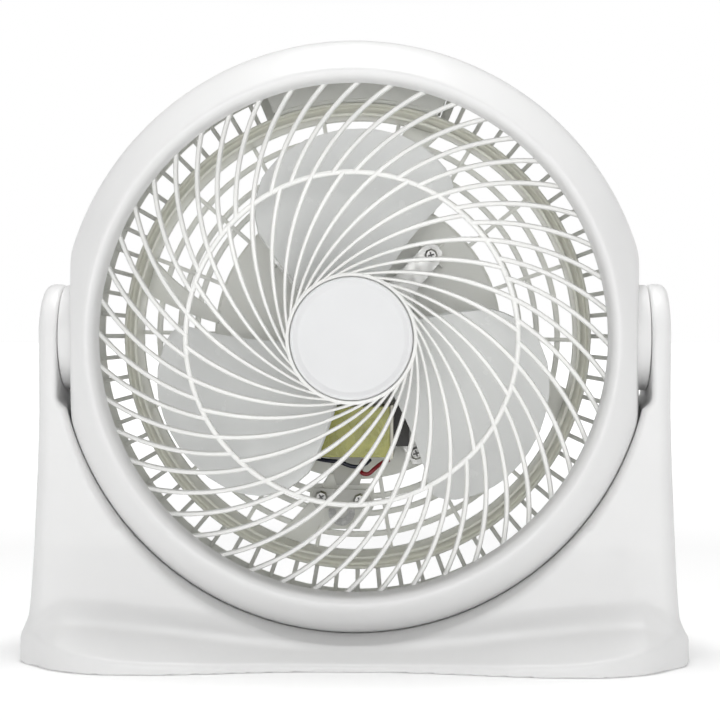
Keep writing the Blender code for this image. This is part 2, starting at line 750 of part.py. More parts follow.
# ---- the motor, its lead clamp and its switch -------------------------------------------------
def build_motor(head):
    iron = material("lamination_iron", (0.12, 0.12, 0.12), 0.5, 0.8)
    outline = [(-20, 26), (20, 26), (29, 17), (29, -60), (21.5, -60), (21.5, -57.5), (-21.5, -57.5)]
    outline += [(-21.5, -60), (-29, -60), (-29, 17)]
    window = [(-20.8, -22.0), (20.8, -22.0), (20.8, -46.0), (-20.8, -46.0)]
    bolts = ((-23.5, 0.0), (23.5, 0.0))
    bolt_holes = [circle(2.3, 10, at) for at in bolts]
    core = plate(outline, [circle(15.2, 24), window] + bolt_holes, CORE_LOW, CORE_HIGH)
    add_mesh("stator_core", *core, iron, head)

    limb_low, limb_high = -57.5, -46.0
    half_stack = (CORE_HIGH - CORE_LOW) / 2 + 0.4
    middle_y = (CORE_LOW + CORE_HIGH) / 2

    def round_limb(grow):
        low, high = limb_low - 0.4 - grow, limb_high + 0.4 + grow
        side = half_stack + grow
        return [(-side, low), (side, low), (side, high), (-side, high)]

    bobbin_mat = material("bobbin_nylon", (0.85, 0.84, 0.78), 0.5)
    sleeve = sleeve_shape(round_limb(0.0), round_limb(1.2), 20.4, middle_y)
    bobbin = add_mesh("coil_bobbin", *sleeve, bobbin_mat, head)
    for side in (-1, 1):
        flange = sleeve_shape(round_limb(0.2), round_limb(8.4), 0.7, middle_y, side * 19.7)
        combine(bobbin, "UNION", [cutter("bobbin_flange_%d" % (side > 0), flange, head)])
    tape = material("coil_tape", (0.4, 0.4, 0.09), 0.45)
    winding = sleeve_shape(round_limb(1.5), round_limb(7.6), 18.6, middle_y)
    add_mesh("coil_winding", *winding, tape, head)

    zinc = material("bracket_zinc", (0.6, 0.6, 0.58), 0.4, 0.9)
    bush = material("bearing_bronze", (0.5, 0.36, 0.2), 0.4, 1.0)
    steel = screw_steel()
    half_bar = [(28.5, 6.5), (28.5, -6.5), (9, -12), (-9, -12)]
    bar = half_bar + [(-x, -z) for x, z in half_bar]
    low = CORE_LOW - 3.0
    bracket = plate(bar, [circle(7.3, 16)] + bolt_holes, low, CORE_LOW - GAP)
    add_mesh("front_bearing_bracket", *bracket, zinc, head)
    bush_bore = SHAFT_R + GAP
    front = disc_profile(7.0, 11.0, CORE_LOW - GAP, bush_bore)
    add_turned("front_bearing", front, bush, head, segments=16)
    rear = disc_profile(7.0, CORE_HIGH + GAP, 42.5, bush_bore)
    add_turned("rear_bearing", rear, bush, head, segments=16)

    holes = [circle(7.3, 16)] + bolt_holes + [circle(2.0, 8, at) for at in MOTOR_EARS]
    mount = plate(ear_plate_outline(MOTOR_EARS, 6.5), holes, CORE_HIGH + GAP, PLATE_Y)
    add_mesh("motor_mount_plate", *mount, zinc, head)
    for x, z in MOTOR_EARS:
        name = "%s_%s" % ("upper" if z > 0 else "lower", "right" if x > 0 else "left")
        place = (x, CORE_HIGH, z)
        screw("mount_screw_" + name, place, (0, 1, 0), steel, head, 3.7, 2.4, 1.6, 7.0)
    for side, (x, z) in zip(("left", "right"), bolts):
        place = (x, low - GAP, z)
        screw("bracket_bolt_" + side, place, (0, 1, 0), steel, head, 4.0, 2.2, 1.9, 22.0)


def sleeve_shape(inner, outer, half_length, middle_y, at_x=0.0):
    """A rectangular sleeve along X between two loops of (y from the middle, z)."""
    points = []
    for x in (at_x - half_length, at_x + half_length):
        for loop in (inner, outer):
            points += [(x, middle_y + y, z) for y, z in loop]
    a, b, c, d = [list(range(4 * k, 4 * k + 4)) for k in range(4)]
    return points, bridge(a, b) + bridge(c, d) + bridge(a, c) + bridge(b, d)


def ear_plate_outline(ears, ear_r):
    """A plate with four round ears, open below between its legs to clear the coil."""
    upper_left, upper_right, lower_left, lower_right = ears
    loop = [(18, 30)]
    for (x, z), start, run in (
        (upper_right, -45, [(32, 24), (30, -30)]),
        (lower_right, 35, [(23, -58), (22.5, -30), (-22.5, -30), (-23, -58)]),
        (lower_left, 165, [(-30, -30), (-32, 24)]),
        (upper_left, 245, [(-18, 30)]),
    ):
        for k in range(5):
            angle = math.radians(start + 40 * k)
            loop.append((x + ear_r * math.sin(angle), z + ear_r * math.cos(angle)))
        loop += run
    return loop


def build_switch(head, knob):
    """The rotary speed switch behind the plate, its nut, and the knob outside on the back."""
    dark = material("switch_phenolic", (0.05, 0.05, 0.055), 0.5)
    size = 13.0
    low, high = KNOB_Z - size, KNOB_Z + size
    outline = [(-size, low), (size, low), (size, high), (-size, high)]
    switch = add_mesh("rotary_switch", *plate(outline, [], 31.0, BACK_Y - 3.0 - GAP), dark, head)
    centre = (0, 0, KNOB_Z)
    neck = turned(disc_profile(4.6, 44.0, 50.2), "Y", centre, 20)
    socket = turned(disc_profile(3.4, 42.0, 52.0), "Y", centre, 16)
    combine(switch, "UNION", [cutter("switch_neck", neck, head)])
    combine(switch, "DIFFERENCE", [cutter("switch_socket", socket, head)])
    steel = screw_steel()
    nut = turned(disc_profile(8.6, BACK_Y + GAP, BACK_Y + 2.3, 5.7), "Y", centre, 6)
    add_mesh("switch_nut", *nut, steel, head)

    knob_profile = [
        (0, 43.0),
        (3.0, 43.0),
        (3.0, 52.2),
        (9.5, 52.2),
        (9.5, BACK_Y + 0.8),
        (17.0, BACK_Y + 0.8),
        (17.0, 55.0),
        (14.5, 65.0),
        (13.5, 66.0),
        (0, 66.0),
    ]
    dial = add_turned("speed_knob", knob_profile, white_plastic(), knob, segments=24)
    pointer = box("cut_knob_pointer", (-1.2, 64.5, 2.0), (1.2, 67.0, 13.2), white_plastic(), knob)
    combine(dial, "UNION", [pointer])


def build_lead_parts(head):
    """Where the supply lead would come in: a gland, and the clamp that holds it inside."""
    seat = 44.4 - GAP
    rubber = material("gland_rubber", (0.75, 0.75, 0.75), 0.6)
    profile = [
        (3.3, seat - 2.5),
        (7.4, seat - 2.5),
        (7.4, seat),
        (5.4, seat),
        (5.4, BACK_Y + GAP),
        (7.4, BACK_Y + GAP),
        (6.2, BACK_Y + 9.0),
        (4.6, BACK_Y + 12.0),
        (3.3, BACK_Y + 12.0),
    ]
    add_turned("cord_gland", profile, rubber, head, at=(GLAND_AT[0], 0, GLAND_AT[1]), segments=18)
    grey = material("clamp_plastic", (0.7, 0.7, 0.67), 0.5)
    outline = [(-26, -90.5), (-24, -84.5), (6, -85.5), (8, -92), (6, -96.5), (-23, -95.5)]
    holes = [circle(1.9, 10, at) for at in CLAMP_SCREWS]
    add_mesh("cord_clamp", *plate(outline, holes, 34.6, 37.0), grey, head)
    steel = screw_steel()
    for side, (x, z) in zip(("left", "right"), CLAMP_SCREWS):
        screw("clamp_screw_" + side, (x, 34.3, z), (0, 1, 0), steel, head, 3.7, 2.2, 1.5, 8.0)
    cover = [(-16.0, -68.0), (5.0, -68.0), (1.0, -83.5), (-12.0, -83.5)]
    add_mesh("lead_cover", *plate(cover, [], 43.0, 45.7), grey, head)


def tube(name, route, radius, mat, parent):
    """A round wire along a smooth curve through a few points."""
    curve = bpy.data.curves.new(name, "CURVE")
    curve.dimensions = "3D"
    curve.bevel_depth = radius * MM
    curve.bevel_resolution = 1
    curve.use_fill_caps = True
    spline = curve.splines.new("POLY")
    smooth = catmull_rom(route, 5)
    spline.points.add(len(smooth) - 1)
    for target, point in zip(spline.points, smooth):
        target.co = (*(Vector(point) * MM), 1.0)
    obj = bpy.data.objects.new(name, curve)
    bpy.context.scene.collection.objects.link(obj)
    obj.data.materials.append(mat)
    obj.parent = parent
    return obj


def catmull_rom(route, steps):
    points = [Vector(p) for p in route]
    ends = [2 * points[0] - points[1]] + points + [2 * points[-1] - points[-2]]
    result = []
    for a, b, c, d in zip(ends, ends[1:], ends[2:], ends[3:]):
        for k in range(steps):
            t = k / steps
            cubic = 2 * b + (c - a) * t + (2 * a - 5 * b + 4 * c - d) * t**2
            result.append((cubic + (3 * b - a - 3 * c + d) * t**3) / 2)
    return result + [points[-1]]


def build_leads(head):
    red = material("red_wire", (0.35, 0.01, 0.02), 0.4)
    blue = material("blue_wire", (0.01, 0.015, 0.05), 0.4)
    for name, mat, route in (("red_lead", red, RED_ROUTE), ("blue_lead", blue, BLUE_ROUTE)):
        tube(name, route, 1.1, mat, head)


def build_pivots(head):
    """A bolt at each side, tight in a nut in the head, that turns in the stand's arm."""
    steel = screw_steel()
    for side, sign in (("left", -1), ("right", 1)):
        bolt = [
            (0, 143.0),
            (2.6, 143.0),
            (3.0, 144.0),
            (3.0, 161.9),
            (6.5, 161.9),
            (6.5, 163.4),
            (5.0, 163.7),
            (0, 163.7),
        ]
        nut = [(3.8, 146.0), (7.0, 146.0), (7.0, 150.1), (3.8, 150.1)]
        washer = [(3.4, 161.15), (7.8, 161.15), (7.8, 161.65), (3.4, 161.65)]
        parts = (("pivot_bolt_", bolt, 16), ("pivot_nut_", nut, 6), ("pivot_washer_", washer, 14))
        for name, profile, segments in parts:
            turned_profile = [(r, x * sign) for r, x in profile]
            add_turned(name + side, turned_profile, steel, head, "X", segments=segments)


def main():
    clear_scene()
    head = empty_at("head_axis", (0, 0, AXIS_Z))
    spin = empty_at("blade_axis", (0, 0, 0), head)
    build_stand()
    build_base_plate()
    build_pivot_caps()
    build_front_ring(head)
    build_front_grille(head)
    build_rear_cover(head)
    build_handle_cup(head)
    build_duct(head)
    build_impeller(spin)
    build_motor(head)
    knob = empty_at("knob_axis", (0, 0, KNOB_Z), head)
    build_switch(head, knob)
    build_lead_parts(head)
    build_leads(head)
    build_pivots(head)


main()
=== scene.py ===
"""Looks of the round-headed desk fan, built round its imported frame.

Every shape below is given in millimetres in the row frame and scaled by MM when its mesh is made.
Angles in the plane of the grille run clockwise from the top, as seen from the front (-Y).
"""

import math

import bmesh
import bpy
import numpy as np
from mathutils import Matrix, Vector

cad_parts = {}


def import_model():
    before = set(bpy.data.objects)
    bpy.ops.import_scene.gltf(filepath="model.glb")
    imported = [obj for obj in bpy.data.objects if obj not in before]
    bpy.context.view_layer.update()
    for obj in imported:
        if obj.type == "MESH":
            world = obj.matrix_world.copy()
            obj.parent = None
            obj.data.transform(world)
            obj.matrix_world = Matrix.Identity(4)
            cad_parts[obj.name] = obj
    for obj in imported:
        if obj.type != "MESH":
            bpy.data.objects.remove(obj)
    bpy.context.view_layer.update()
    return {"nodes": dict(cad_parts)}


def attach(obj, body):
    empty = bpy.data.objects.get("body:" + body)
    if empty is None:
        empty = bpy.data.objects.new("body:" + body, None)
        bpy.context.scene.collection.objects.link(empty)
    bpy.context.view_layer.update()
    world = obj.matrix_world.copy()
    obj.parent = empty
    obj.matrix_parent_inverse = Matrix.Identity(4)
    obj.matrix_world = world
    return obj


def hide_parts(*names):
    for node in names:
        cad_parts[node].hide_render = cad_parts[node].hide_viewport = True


MM = 0.001
AXIS_Z = 168.5  # height of the tilt axis and of the impeller's axis
FLAT_X = 153.0  # half width between the head's two flats
PARTING = 30.0  # y where the front ring meets the rear cover
BACK_Y = 49.0  # the rear cover's outside
WALL = 2.6


# ---- meshes -----------------------------------------------------------------------------------
def make_object(name, mesh, mat, sharp):
    """An object in the scene, shaded smooth except over edges sharper than so many degrees."""
    mesh.shade_smooth()
    mesh.set_sharp_from_angle(angle=math.radians(sharp))
    obj = bpy.data.objects.new(name, mesh)
    bpy.context.scene.collection.objects.link(obj)
    obj.data.materials.append(mat)
    return obj


def make_mesh(name, points, faces, mat):
    mesh = bpy.data.meshes.new(name)
    mesh.from_pydata([tuple(c * MM for c in p) for p in points], [], faces)
    bm = bmesh.new()
    bm.from_mesh(mesh)
    bmesh.ops.remove_doubles(bm, verts=bm.verts, dist=1e-7)
    bmesh.ops.recalc_face_normals(bm, faces=bm.faces)
    bm.to_mesh(mesh)
    bm.free()
    return make_object(name, mesh, mat, 32.0)


def piece(name, shape, mat, body, replaces):
    """A finished piece that rides on a body and stands for some nodes, or for none."""
    obj = make_mesh(name, *shape, mat)
    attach(obj, body)
    if replaces:
        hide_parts(*replaces)
    return obj


def join(*shapes):
    """Several (points, faces) as one."""
    points = []
    faces = []
    for more_points, more_faces in shapes:
        start = len(points)
        points += list(more_points)
        faces += [[i + start for i in face] for face in more_faces]
    return points, faces


def rounded(corners, steps=4):
    """A closed outline from (a, b, radius) corners, each made an arc of up to that radius."""
    result = []
    count = len(corners)
    for index, (a, b, radius) in enumerate(corners):
        here = np.array((a, b), float)
        before = np.array(corners[index - 1][:2], float) - here
        after = np.array(corners[(index + 1) % count][:2], float) - here
        room = min(np.linalg.norm(before), np.linalg.norm(after)) * 0.49
        before /= np.linalg.norm(before)
        after /= np.linalg.norm(after)
        half = math.acos(max(-1.0, min(1.0, float(before @ after)))) / 2
        if radius <= 0 or half > 1.55 or half < 0.02:
            result.append(tuple(here))
            continue
        cut = min(radius / math.tan(half), room)
        radius = cut * math.tan(half)
        inward = (before + after) / np.linalg.norm(before + after)
        middle = here + inward * radius / math.sin(half)
        first = here + before * cut - middle
        last = here + after * cut - middle
        turn = math.atan2(first[0] * last[1] - first[1] * last[0], float(first @ last))
        for k in range(steps + 1):
            angle = turn * k / steps
            c, s = math.cos(angle), math.sin(angle)
            result.append(tuple(middle + (first[0] * c - first[1] * s, first[0] * s + first[1] * c)))
    return result


PLACES = {
    "X": lambda r, h, a: (h, r * math.sin(a), r * math.cos(a)),
    "Y": lambda r, h, a: (r * math.sin(a), h, r * math.cos(a)),
}


def turned(profile, axis="Y", at=(0, 0, AXIS_Z), segments=128, arc=None):
    """A closed profile of (radius, height) points turned about an axis, all round or over an arc."""
    place = PLACES[axis]
    whole = arc is None
    low, high = (0.0, math.tau) if whole else arc
    rows = segments if whole else segments + 1
    size = len(profile)
    points = []
    for k in range(rows):
        angle = low + (high - low) * k / segments
        for radius, height in profile:
            x, y, z = place(max(radius, 1e-5), height, angle)
            points.append((x + at[0], y + at[1], z + at[2]))
    faces = []
    for k in range(segments):
        for i in range(size):
            a = k * size + i
            b = k * size + (i + 1) % size
            c = ((k + 1) % rows) * size + (i + 1) % size
            d = ((k + 1) % rows) * size + i
            faces.append([a, b, c, d])
    if not whole:
        faces.append(list(range(size)))
        faces.append([segments * size + i for i in range(size)])
    return points, faces


def polar(radius, angle):
    return (radius * math.sin(angle), radius * math.cos(angle))


def stack_faces(size, rows):
    """The faces of a stack of closed loops, with a cap at each end."""
    faces = []
    for row in range(rows - 1):
        for i in range(size):
            j = (i + 1) % size
            faces.append([row * size + i, row * size + j, (row + 1) * size + j, (row + 1) * size + i])
    faces.append(list(range(size)))
    faces.append([(rows - 1) * size + i for i in range(size)])
    return faces


def extruded(outline, low, high, edge, steps=2):
    """A flat outline of (x, z) about the axis, made thick along Y, with slightly rounded edges."""
    loop = np.array(outline, float)
    following = np.roll(loop, -1, axis=0)
    if np.sum(loop[:, 0] * following[:, 1] - following[:, 0] * loop[:, 1]) < 0:
        loop = loop[::-1]
    ahead = np.roll(loop, -1, axis=0) - loop
    ahead /= np.linalg.norm(ahead, axis=1)[:, None]
    back = np.roll(ahead, 1, axis=0)
    normal = np.stack([ahead[:, 1] + back[:, 1], -(ahead[:, 0] + back[:, 0])], axis=1)
    normal /= np.maximum(1e-9, np.sum(normal**2, axis=1) / 2)[:, None]
    levels = []
    for k in range(steps + 1):
        a = math.pi / 2 * k / steps
        levels.append((edge * (1 - math.sin(a)), low + edge * (1 - math.cos(a))))
    levels += [(inset, low + high - y) for inset, y in reversed(levels)]
    points = []
    for inset, y in levels:
        points += [(x, y, z + AXIS_Z) for x, z in loop - normal * inset]
    return points, stack_faces(len(loop), len(levels))


def swept(sections):
    """A closed shape through a row of sections, each a loop of 3-D points."""
    points = [point for section in sections for point in section]
    return points, stack_faces(len(sections[0]), len(sections))


def smooth_path(route, steps):
    """Catmull-Rom curve through a few points."""
    route = [Vector(p) for p in route]
    ends = [2 * route[0] - route[1]] + route + [2 * route[-1] - route[-2]]
    result = []
    for a, b, c, d in zip(ends, ends[1:], ends[2:], ends[3:]):
        for k in range(steps):
            t = k / steps
            cubic = 2 * b + (c - a) * t + (2 * a - 5 * b + 4 * c - d) * t**2
            result.append((cubic + (3 * b - a - 3 * c + d) * t**3) / 2)
    return result + [route[-1]]


def wire(route, radius):
    """A round wire along a smoothed route."""
    sides = 12
    path = smooth_path(route, 8)
    sections = []
    normal = Vector((0.3, 1.0, 0.2)).normalized()
    for index, point in enumerate(path):
        ahead = path[min(index + 1, len(path) - 1)] - path[max(index - 1, 0)]
        ahead.normalize()
        normal = (normal - ahead * normal.dot(ahead)).normalized()
        other = ahead.cross(normal)
        loop = []
        for k in range(sides):
            a = math.tau * k / sides
            loop.append(tuple(point + (normal * math.cos(a) + other * math.sin(a)) * radius))
        sections.append(loop)
    return swept(sections)


# ---- materials --------------------------------------------------------------------------------
def shader_of(name):
    mat = bpy.data.materials.new(name)
    mat.use_nodes = True
    tree = mat.node_tree
    return mat, tree, tree.nodes["Principled BSDF"]


def noise_on(tree, scale, detail=3.0, roughness=0.55, stretch=None, distortion=0.0):
    """Noise in the piece's own space, its scale per metre."""
    coords = tree.nodes.new("ShaderNodeTexCoord")
    source = coords.outputs["Object"]
    if stretch:
        mapping = tree.nodes.new("ShaderNodeMapping")
        mapping.inputs["Scale"].default_value = stretch
        tree.links.new(source, mapping.inputs["Vector"])
        source = mapping.outputs["Vector"]
    noise = tree.nodes.new("ShaderNodeTexNoise")
    noise.inputs["Scale"].default_value = scale
    noise.inputs["Detail"].default_value = detail
    noise.inputs["Roughness"].default_value = roughness
    noise.inputs["Distortion"].default_value = distortion
    tree.links.new(source, noise.inputs["Vector"])
    return noise


def ramp_on(tree, source, stops):
    ramp = tree.nodes.new("ShaderNodeValToRGB")
    ramp.color_ramp.elements[0].position = stops[0][0]
    ramp.color_ramp.elements[0].color = (*stops[0][1], 1.0)
    ramp.color_ramp.elements[1].position = stops[-1][0]
    ramp.color_ramp.elements[1].color = (*stops[-1][1], 1.0)
    for position, color in stops[1:-1]:
        ramp.color_ramp.elements.new(position).color = (*color, 1.0)
    tree.links.new(source, ramp.inputs["Fac"])
    return ramp


def range_on(tree, source, low, high, from_low=0.3, from_high=0.7):
    node = tree.nodes.new("ShaderNodeMapRange")
    node.inputs["From Min"].default_value = from_low
    node.inputs["From Max"].default_value = from_high
    node.inputs["To Min"].default_value = low
    node.inputs["To Max"].default_value = high
    tree.links.new(source, node.inputs["Value"])
    return node


def bump_on(tree, shader, layers):
    """Stacked bumps: (height output, strength, distance in metres)."""
    previous = None
    for source, strength, distance in layers:
        bump = tree.nodes.new("ShaderNodeBump")
        bump.inputs["Strength"].default_value = strength
        bump.inputs["Distance"].default_value = distance
        tree.links.new(source, bump.inputs["Height"])
        if previous is not None:
            tree.links.new(previous.outputs["Normal"], bump.inputs["Normal"])
        previous = bump
    tree.links.new(previous.outputs["Normal"], shader.inputs["Normal"])


def plastic(name, color, roughness, spread):
    """Moulded plastic: faint flow marks in its colour, a fine moulded grain, uneven gloss."""
    mat, tree, shader = shader_of(name)
    marks = noise_on(tree, 30.0, 4.0, 0.6, distortion=0.4)
    low = tuple(max(0.0, c * (1 - spread)) for c in color)
    high = tuple(min(1.0, c * (1 + spread)) for c in color)
    tree.links.new(ramp_on(tree, marks.outputs["Fac"], [(0.3, low), (0.7, high)]).outputs["Color"],
                   shader.inputs["Base Color"])
    patches = noise_on(tree, 90.0, 5.0, 0.6)
    gloss = range_on(tree, patches.outputs["Fac"], roughness - 0.05, roughness + 0.07)
    tree.links.new(gloss.outputs["Result"], shader.inputs["Roughness"])
    grain = noise_on(tree, 2600.0, 2.0, 0.5)
    sink = noise_on(tree, 45.0, 1.0, 0.4)
    bump_on(tree, shader, [(grain.outputs["Fac"], 0.35, 0.00003), (sink.outputs["Fac"], 0.25, 0.0004)])
    shader.inputs["IOR"].default_value = 1.49
    return mat


def metal(name, color, roughness):
    """Plated or brushed metal with fine directional scratches and dull patches."""
    mat, tree, shader = shader_of(name)
    dull = noise_on(tree, 160.0, 5.0, 0.65)
    low = tuple(c * 0.88 for c in color)
    tree.links.new(ramp_on(tree, dull.outputs["Fac"], [(0.3, low), (0.7, color)]).outputs["Color"],
                   shader.inputs["Base Color"])
    gloss = range_on(tree, dull.outputs["Fac"], roughness - 0.1, roughness + 0.15)
    tree.links.new(gloss.outputs["Result"], shader.inputs["Roughness"])
    lines = noise_on(tree, 60.0, 3.0, 0.6, stretch=(60.0, 60.0, 4.0))
    bump_on(tree, shader, [(lines.outputs["Fac"], 0.4, 0.00004)])
    shader.inputs["Metallic"].default_value = 1.0
    return mat


def rubber(name, color):
    """Soft matt rubber with pale dust on it."""
    mat, tree, shader = shader_of(name)
    dust = noise_on(tree, 260.0, 6.0, 0.7)
    pale = tuple(c * 1.8 + 0.02 for c in color)
    tree.links.new(ramp_on(tree, dust.outputs["Fac"], [(0.45, color), (0.8, pale)]).outputs["Color"],
                   shader.inputs["Base Color"])
    gloss = range_on(tree, dust.outputs["Fac"], 0.6, 0.85)
    tree.links.new(gloss.outputs["Result"], shader.inputs["Roughness"])
    fine = noise_on(tree, 3000.0, 2.0, 0.5)
    bump_on(tree, shader, [(fine.outputs["Fac"], 0.5, 0.00006)])
    return mat


def laminations(name):
    """Varnished steel sheets stacked along Y."""
    mat, tree, shader = shader_of(name)
    coords = tree.nodes.new("ShaderNodeTexCoord")
    sheets = tree.nodes.new("ShaderNodeTexWave")
    sheets.wave_type = "BANDS"
    sheets.bands_direction = "Y"
    sheets.inputs["Scale"].default_value = 320.0
    sheets.inputs["Distortion"].default_value = 0.4
    tree.links.new(coords.outputs["Object"], sheets.inputs["Vector"])
    stain = noise_on(tree, 120.0, 5.0, 0.6)
    stops = [(0.3, (0.022, 0.022, 0.022)), (0.7, (0.06, 0.058, 0.055))]
    color = ramp_on(tree, stain.outputs["Fac"], stops)
    tree.links.new(color.outputs["Color"], shader.inputs["Base Color"])
    gloss = range_on(tree, stain.outputs["Fac"], 0.35, 0.6)
    tree.links.new(gloss.outputs["Result"], shader.inputs["Roughness"])
    bump_on(tree, shader, [(sheets.outputs["Fac"], 0.6, 0.0001), (stain.outputs["Fac"], 0.3, 0.0001)])
    shader.inputs["Metallic"].default_value = 0.55
    return mat


def coil_tape(name):
    """Thin olive polyester tape over the winding: the wire's ridges show through, with wrinkles."""
    mat, tree, shader = shader_of(name)
    coords = tree.nodes.new("ShaderNodeTexCoord")
    turns = tree.nodes.new("ShaderNodeTexWave")
    turns.wave_type = "BANDS"
    turns.bands_direction = "X"
    turns.inputs["Scale"].default_value = 260.0
    turns.inputs["Distortion"].default_value = 1.2
    turns.inputs["Detail"].default_value = 2.0
    tree.links.new(coords.outputs["Object"], turns.inputs["Vector"])
    patch = noise_on(tree, 70.0, 4.0, 0.6, distortion=0.8)
    stops = [(0.3, (0.27, 0.27, 0.035)), (0.55, (0.40, 0.40, 0.07)), (0.75, (0.52, 0.50, 0.12))]
    color = ramp_on(tree, patch.outputs["Fac"], stops)
    tree.links.new(color.outputs["Color"], shader.inputs["Base Color"])
    gloss = range_on(tree, patch.outputs["Fac"], 0.2, 0.38)
    tree.links.new(gloss.outputs["Result"], shader.inputs["Roughness"])
    wrinkles = noise_on(tree, 180.0, 4.0, 0.6, stretch=(1.0, 3.0, 3.0))
    layers = [(turns.outputs["Fac"], 0.35, 0.00015), (wrinkles.outputs["Fac"], 0.5, 0.0004)]
    bump_on(tree, shader, layers)
    shader.inputs["Coat Weight"].default_value = 0.4
    shader.inputs["Coat Roughness"].default_value = 0.15
    return mat


# ---- the stand --------------------------------------------------------------------------------
def union_round(a, b, r):
    """Either a or b, with a hollow round of radius r where they meet."""
    u = np.maximum(r - a, 0.0)
    v = np.maximum(r - b, 0.0)
    return np.maximum(r, np.minimum(a, b)) - np.sqrt(u * u + v * v)


def cut_round(a, b, r):
    """Both a and b, with a round edge of radius r where they meet."""
    u = np.maximum(r + a, 0.0)
    v = np.maximum(r + b, 0.0)
    return np.minimum(-r, np.maximum(a, b)) + np.sqrt(u * u + v * v)


BASE_X = 176.5  # half width of the base
BASE_PLAN = [(0, 64.0), (30, 65.4), (55, 69.0), (74, 72.6), (97, 75.6), (112, 76.0), (124, 75.4)]
BASE_PLAN += [(137, 72.4), (150, 65.6), (160, 56.0), (168, 43.5), (173.5, 30.0), (176.0, 15.0), (BASE_X, 0)]


def plan_outline():
    """The base's plan as a loop of (x, y): one smoothed quarter, mirrored to all four."""
    beyond = [(-x, y) for x, y in BASE_PLAN[1:2]], [(x, -y) for x, y in BASE_PLAN[-2:-1]]
    quarter = [(x, y, 0) for x, y in beyond[0] + BASE_PLAN + beyond[1]]
    steps = 6
    fine = [(p.x, p.y) for p in smooth_path(quarter, steps)][steps:-steps - 1]
    right = fine + [(BASE_X, 0.0)] + [(x, -y) for x, y in reversed(fine)]
    left = [(-x, y) for x, y in reversed(right)]
    return right + left[1:-1]


def outline_distance(loop, xs, ys):
    """Signed distance to a closed loop on a grid of x and y."""
    gx, gy = np.meshgrid(xs, ys, indexing="ij")
    best = np.full(gx.shape, 1e9)
    inside = np.zeros(gx.shape, bool)
    loop = np.array(loop, float)
    for (ax, ay), (bx, by) in zip(loop, np.roll(loop, -1, axis=0)):
        dx, dy = bx - ax, by - ay
        t = np.clip(((gx - ax) * dx + (gy - ay) * dy) / max(dx * dx + dy * dy, 1e-9), 0, 1)
        best = np.minimum(best, np.hypot(gx - ax - t * dx, gy - ay - t * dy))
        if abs(dy) > 1e-12:
            crosses = ((ay > gy) != (by > gy)) & (gx < ax + (gy - ay) / dy * dx)
            inside ^= crosses
    return np.where(inside, -best, best)


def bilinear(grid, x, y):
    """A value between those of a grid with a cell of 1 mm, which starts at 0, 0."""
    u = np.clip(x, 0, grid.shape[0] - 1.001)
    v = np.clip(y, 0, grid.shape[1] - 1.001)
    i, j = u.astype(int), v.astype(int)
    u, v = u - i, v - j
    one = grid[i, j] * (1 - u) + grid[i + 1, j] * u
    two = grid[i, j + 1] * (1 - u) + grid[i + 1, j + 1] * u
    return one * (1 - v) + two * v


CHEEK_X = 155.6  # half width between the inner faces of the stand's arms
ARM_TOP_R = 28.5
SOCKET_R = 157.15  # the sphere that the bowl's inside is part of
LIP_Y = 26.0  # how far from the axis the sphere ends: a cone follows in front, a cylinder behind
STEEP_FROM = 51.0  # degrees from the bottom of the bowl to where its cone gets steeper
STEEP = 0.34
PIVOT_X = 164.6  # the floor of the round pocket outside each arm, which holds the pivot cap
PIVOT_R = 9.0
FLOOR_GAP = 0.15

# Tables of places and the measure at each. Places are heights for the arms and the bowl's edge,
# distances from the middle for the rim and the flare, degrees from the bowl's bottom for the cone.
ARM_WIDTH = ((11.5, 16, 21, 26, 34, 80, 130), (170.5, 170.2, 169.8, 169.3, 168.7, 167.2, 165.8))
ARM_DEPTH = ((0, 12, 28, 60, 110, AXIS_Z), (45.5, 43.5, 40.0, 34.0, 30.0, ARM_TOP_R))
ARM_EDGE = ((100, 175), (7.0, 4.5))
RIM_HEIGHT = ((0, 40, 74, 100, 122, 150, 180), (3.5, 4.0, 5.0, 6.1, 7.6, 11.3, 11.6))
RIM_FRONT = ((0, 30, 55, 74, 97, 124, 150, 160, 176), (64, 65.4, 69, 72.6, 75.6, 75.4, 70, 64, 50))
FLARE_SLOPE = ((0, 60, 122, 180), (0.36, 0.36, 0.42, 0.46))
CONE_SLOPE = ((0, 20, 35), (0.15, 0.18, 0.22))
BOWL_EDGE = ((5, 60), (1.8, 2.2))


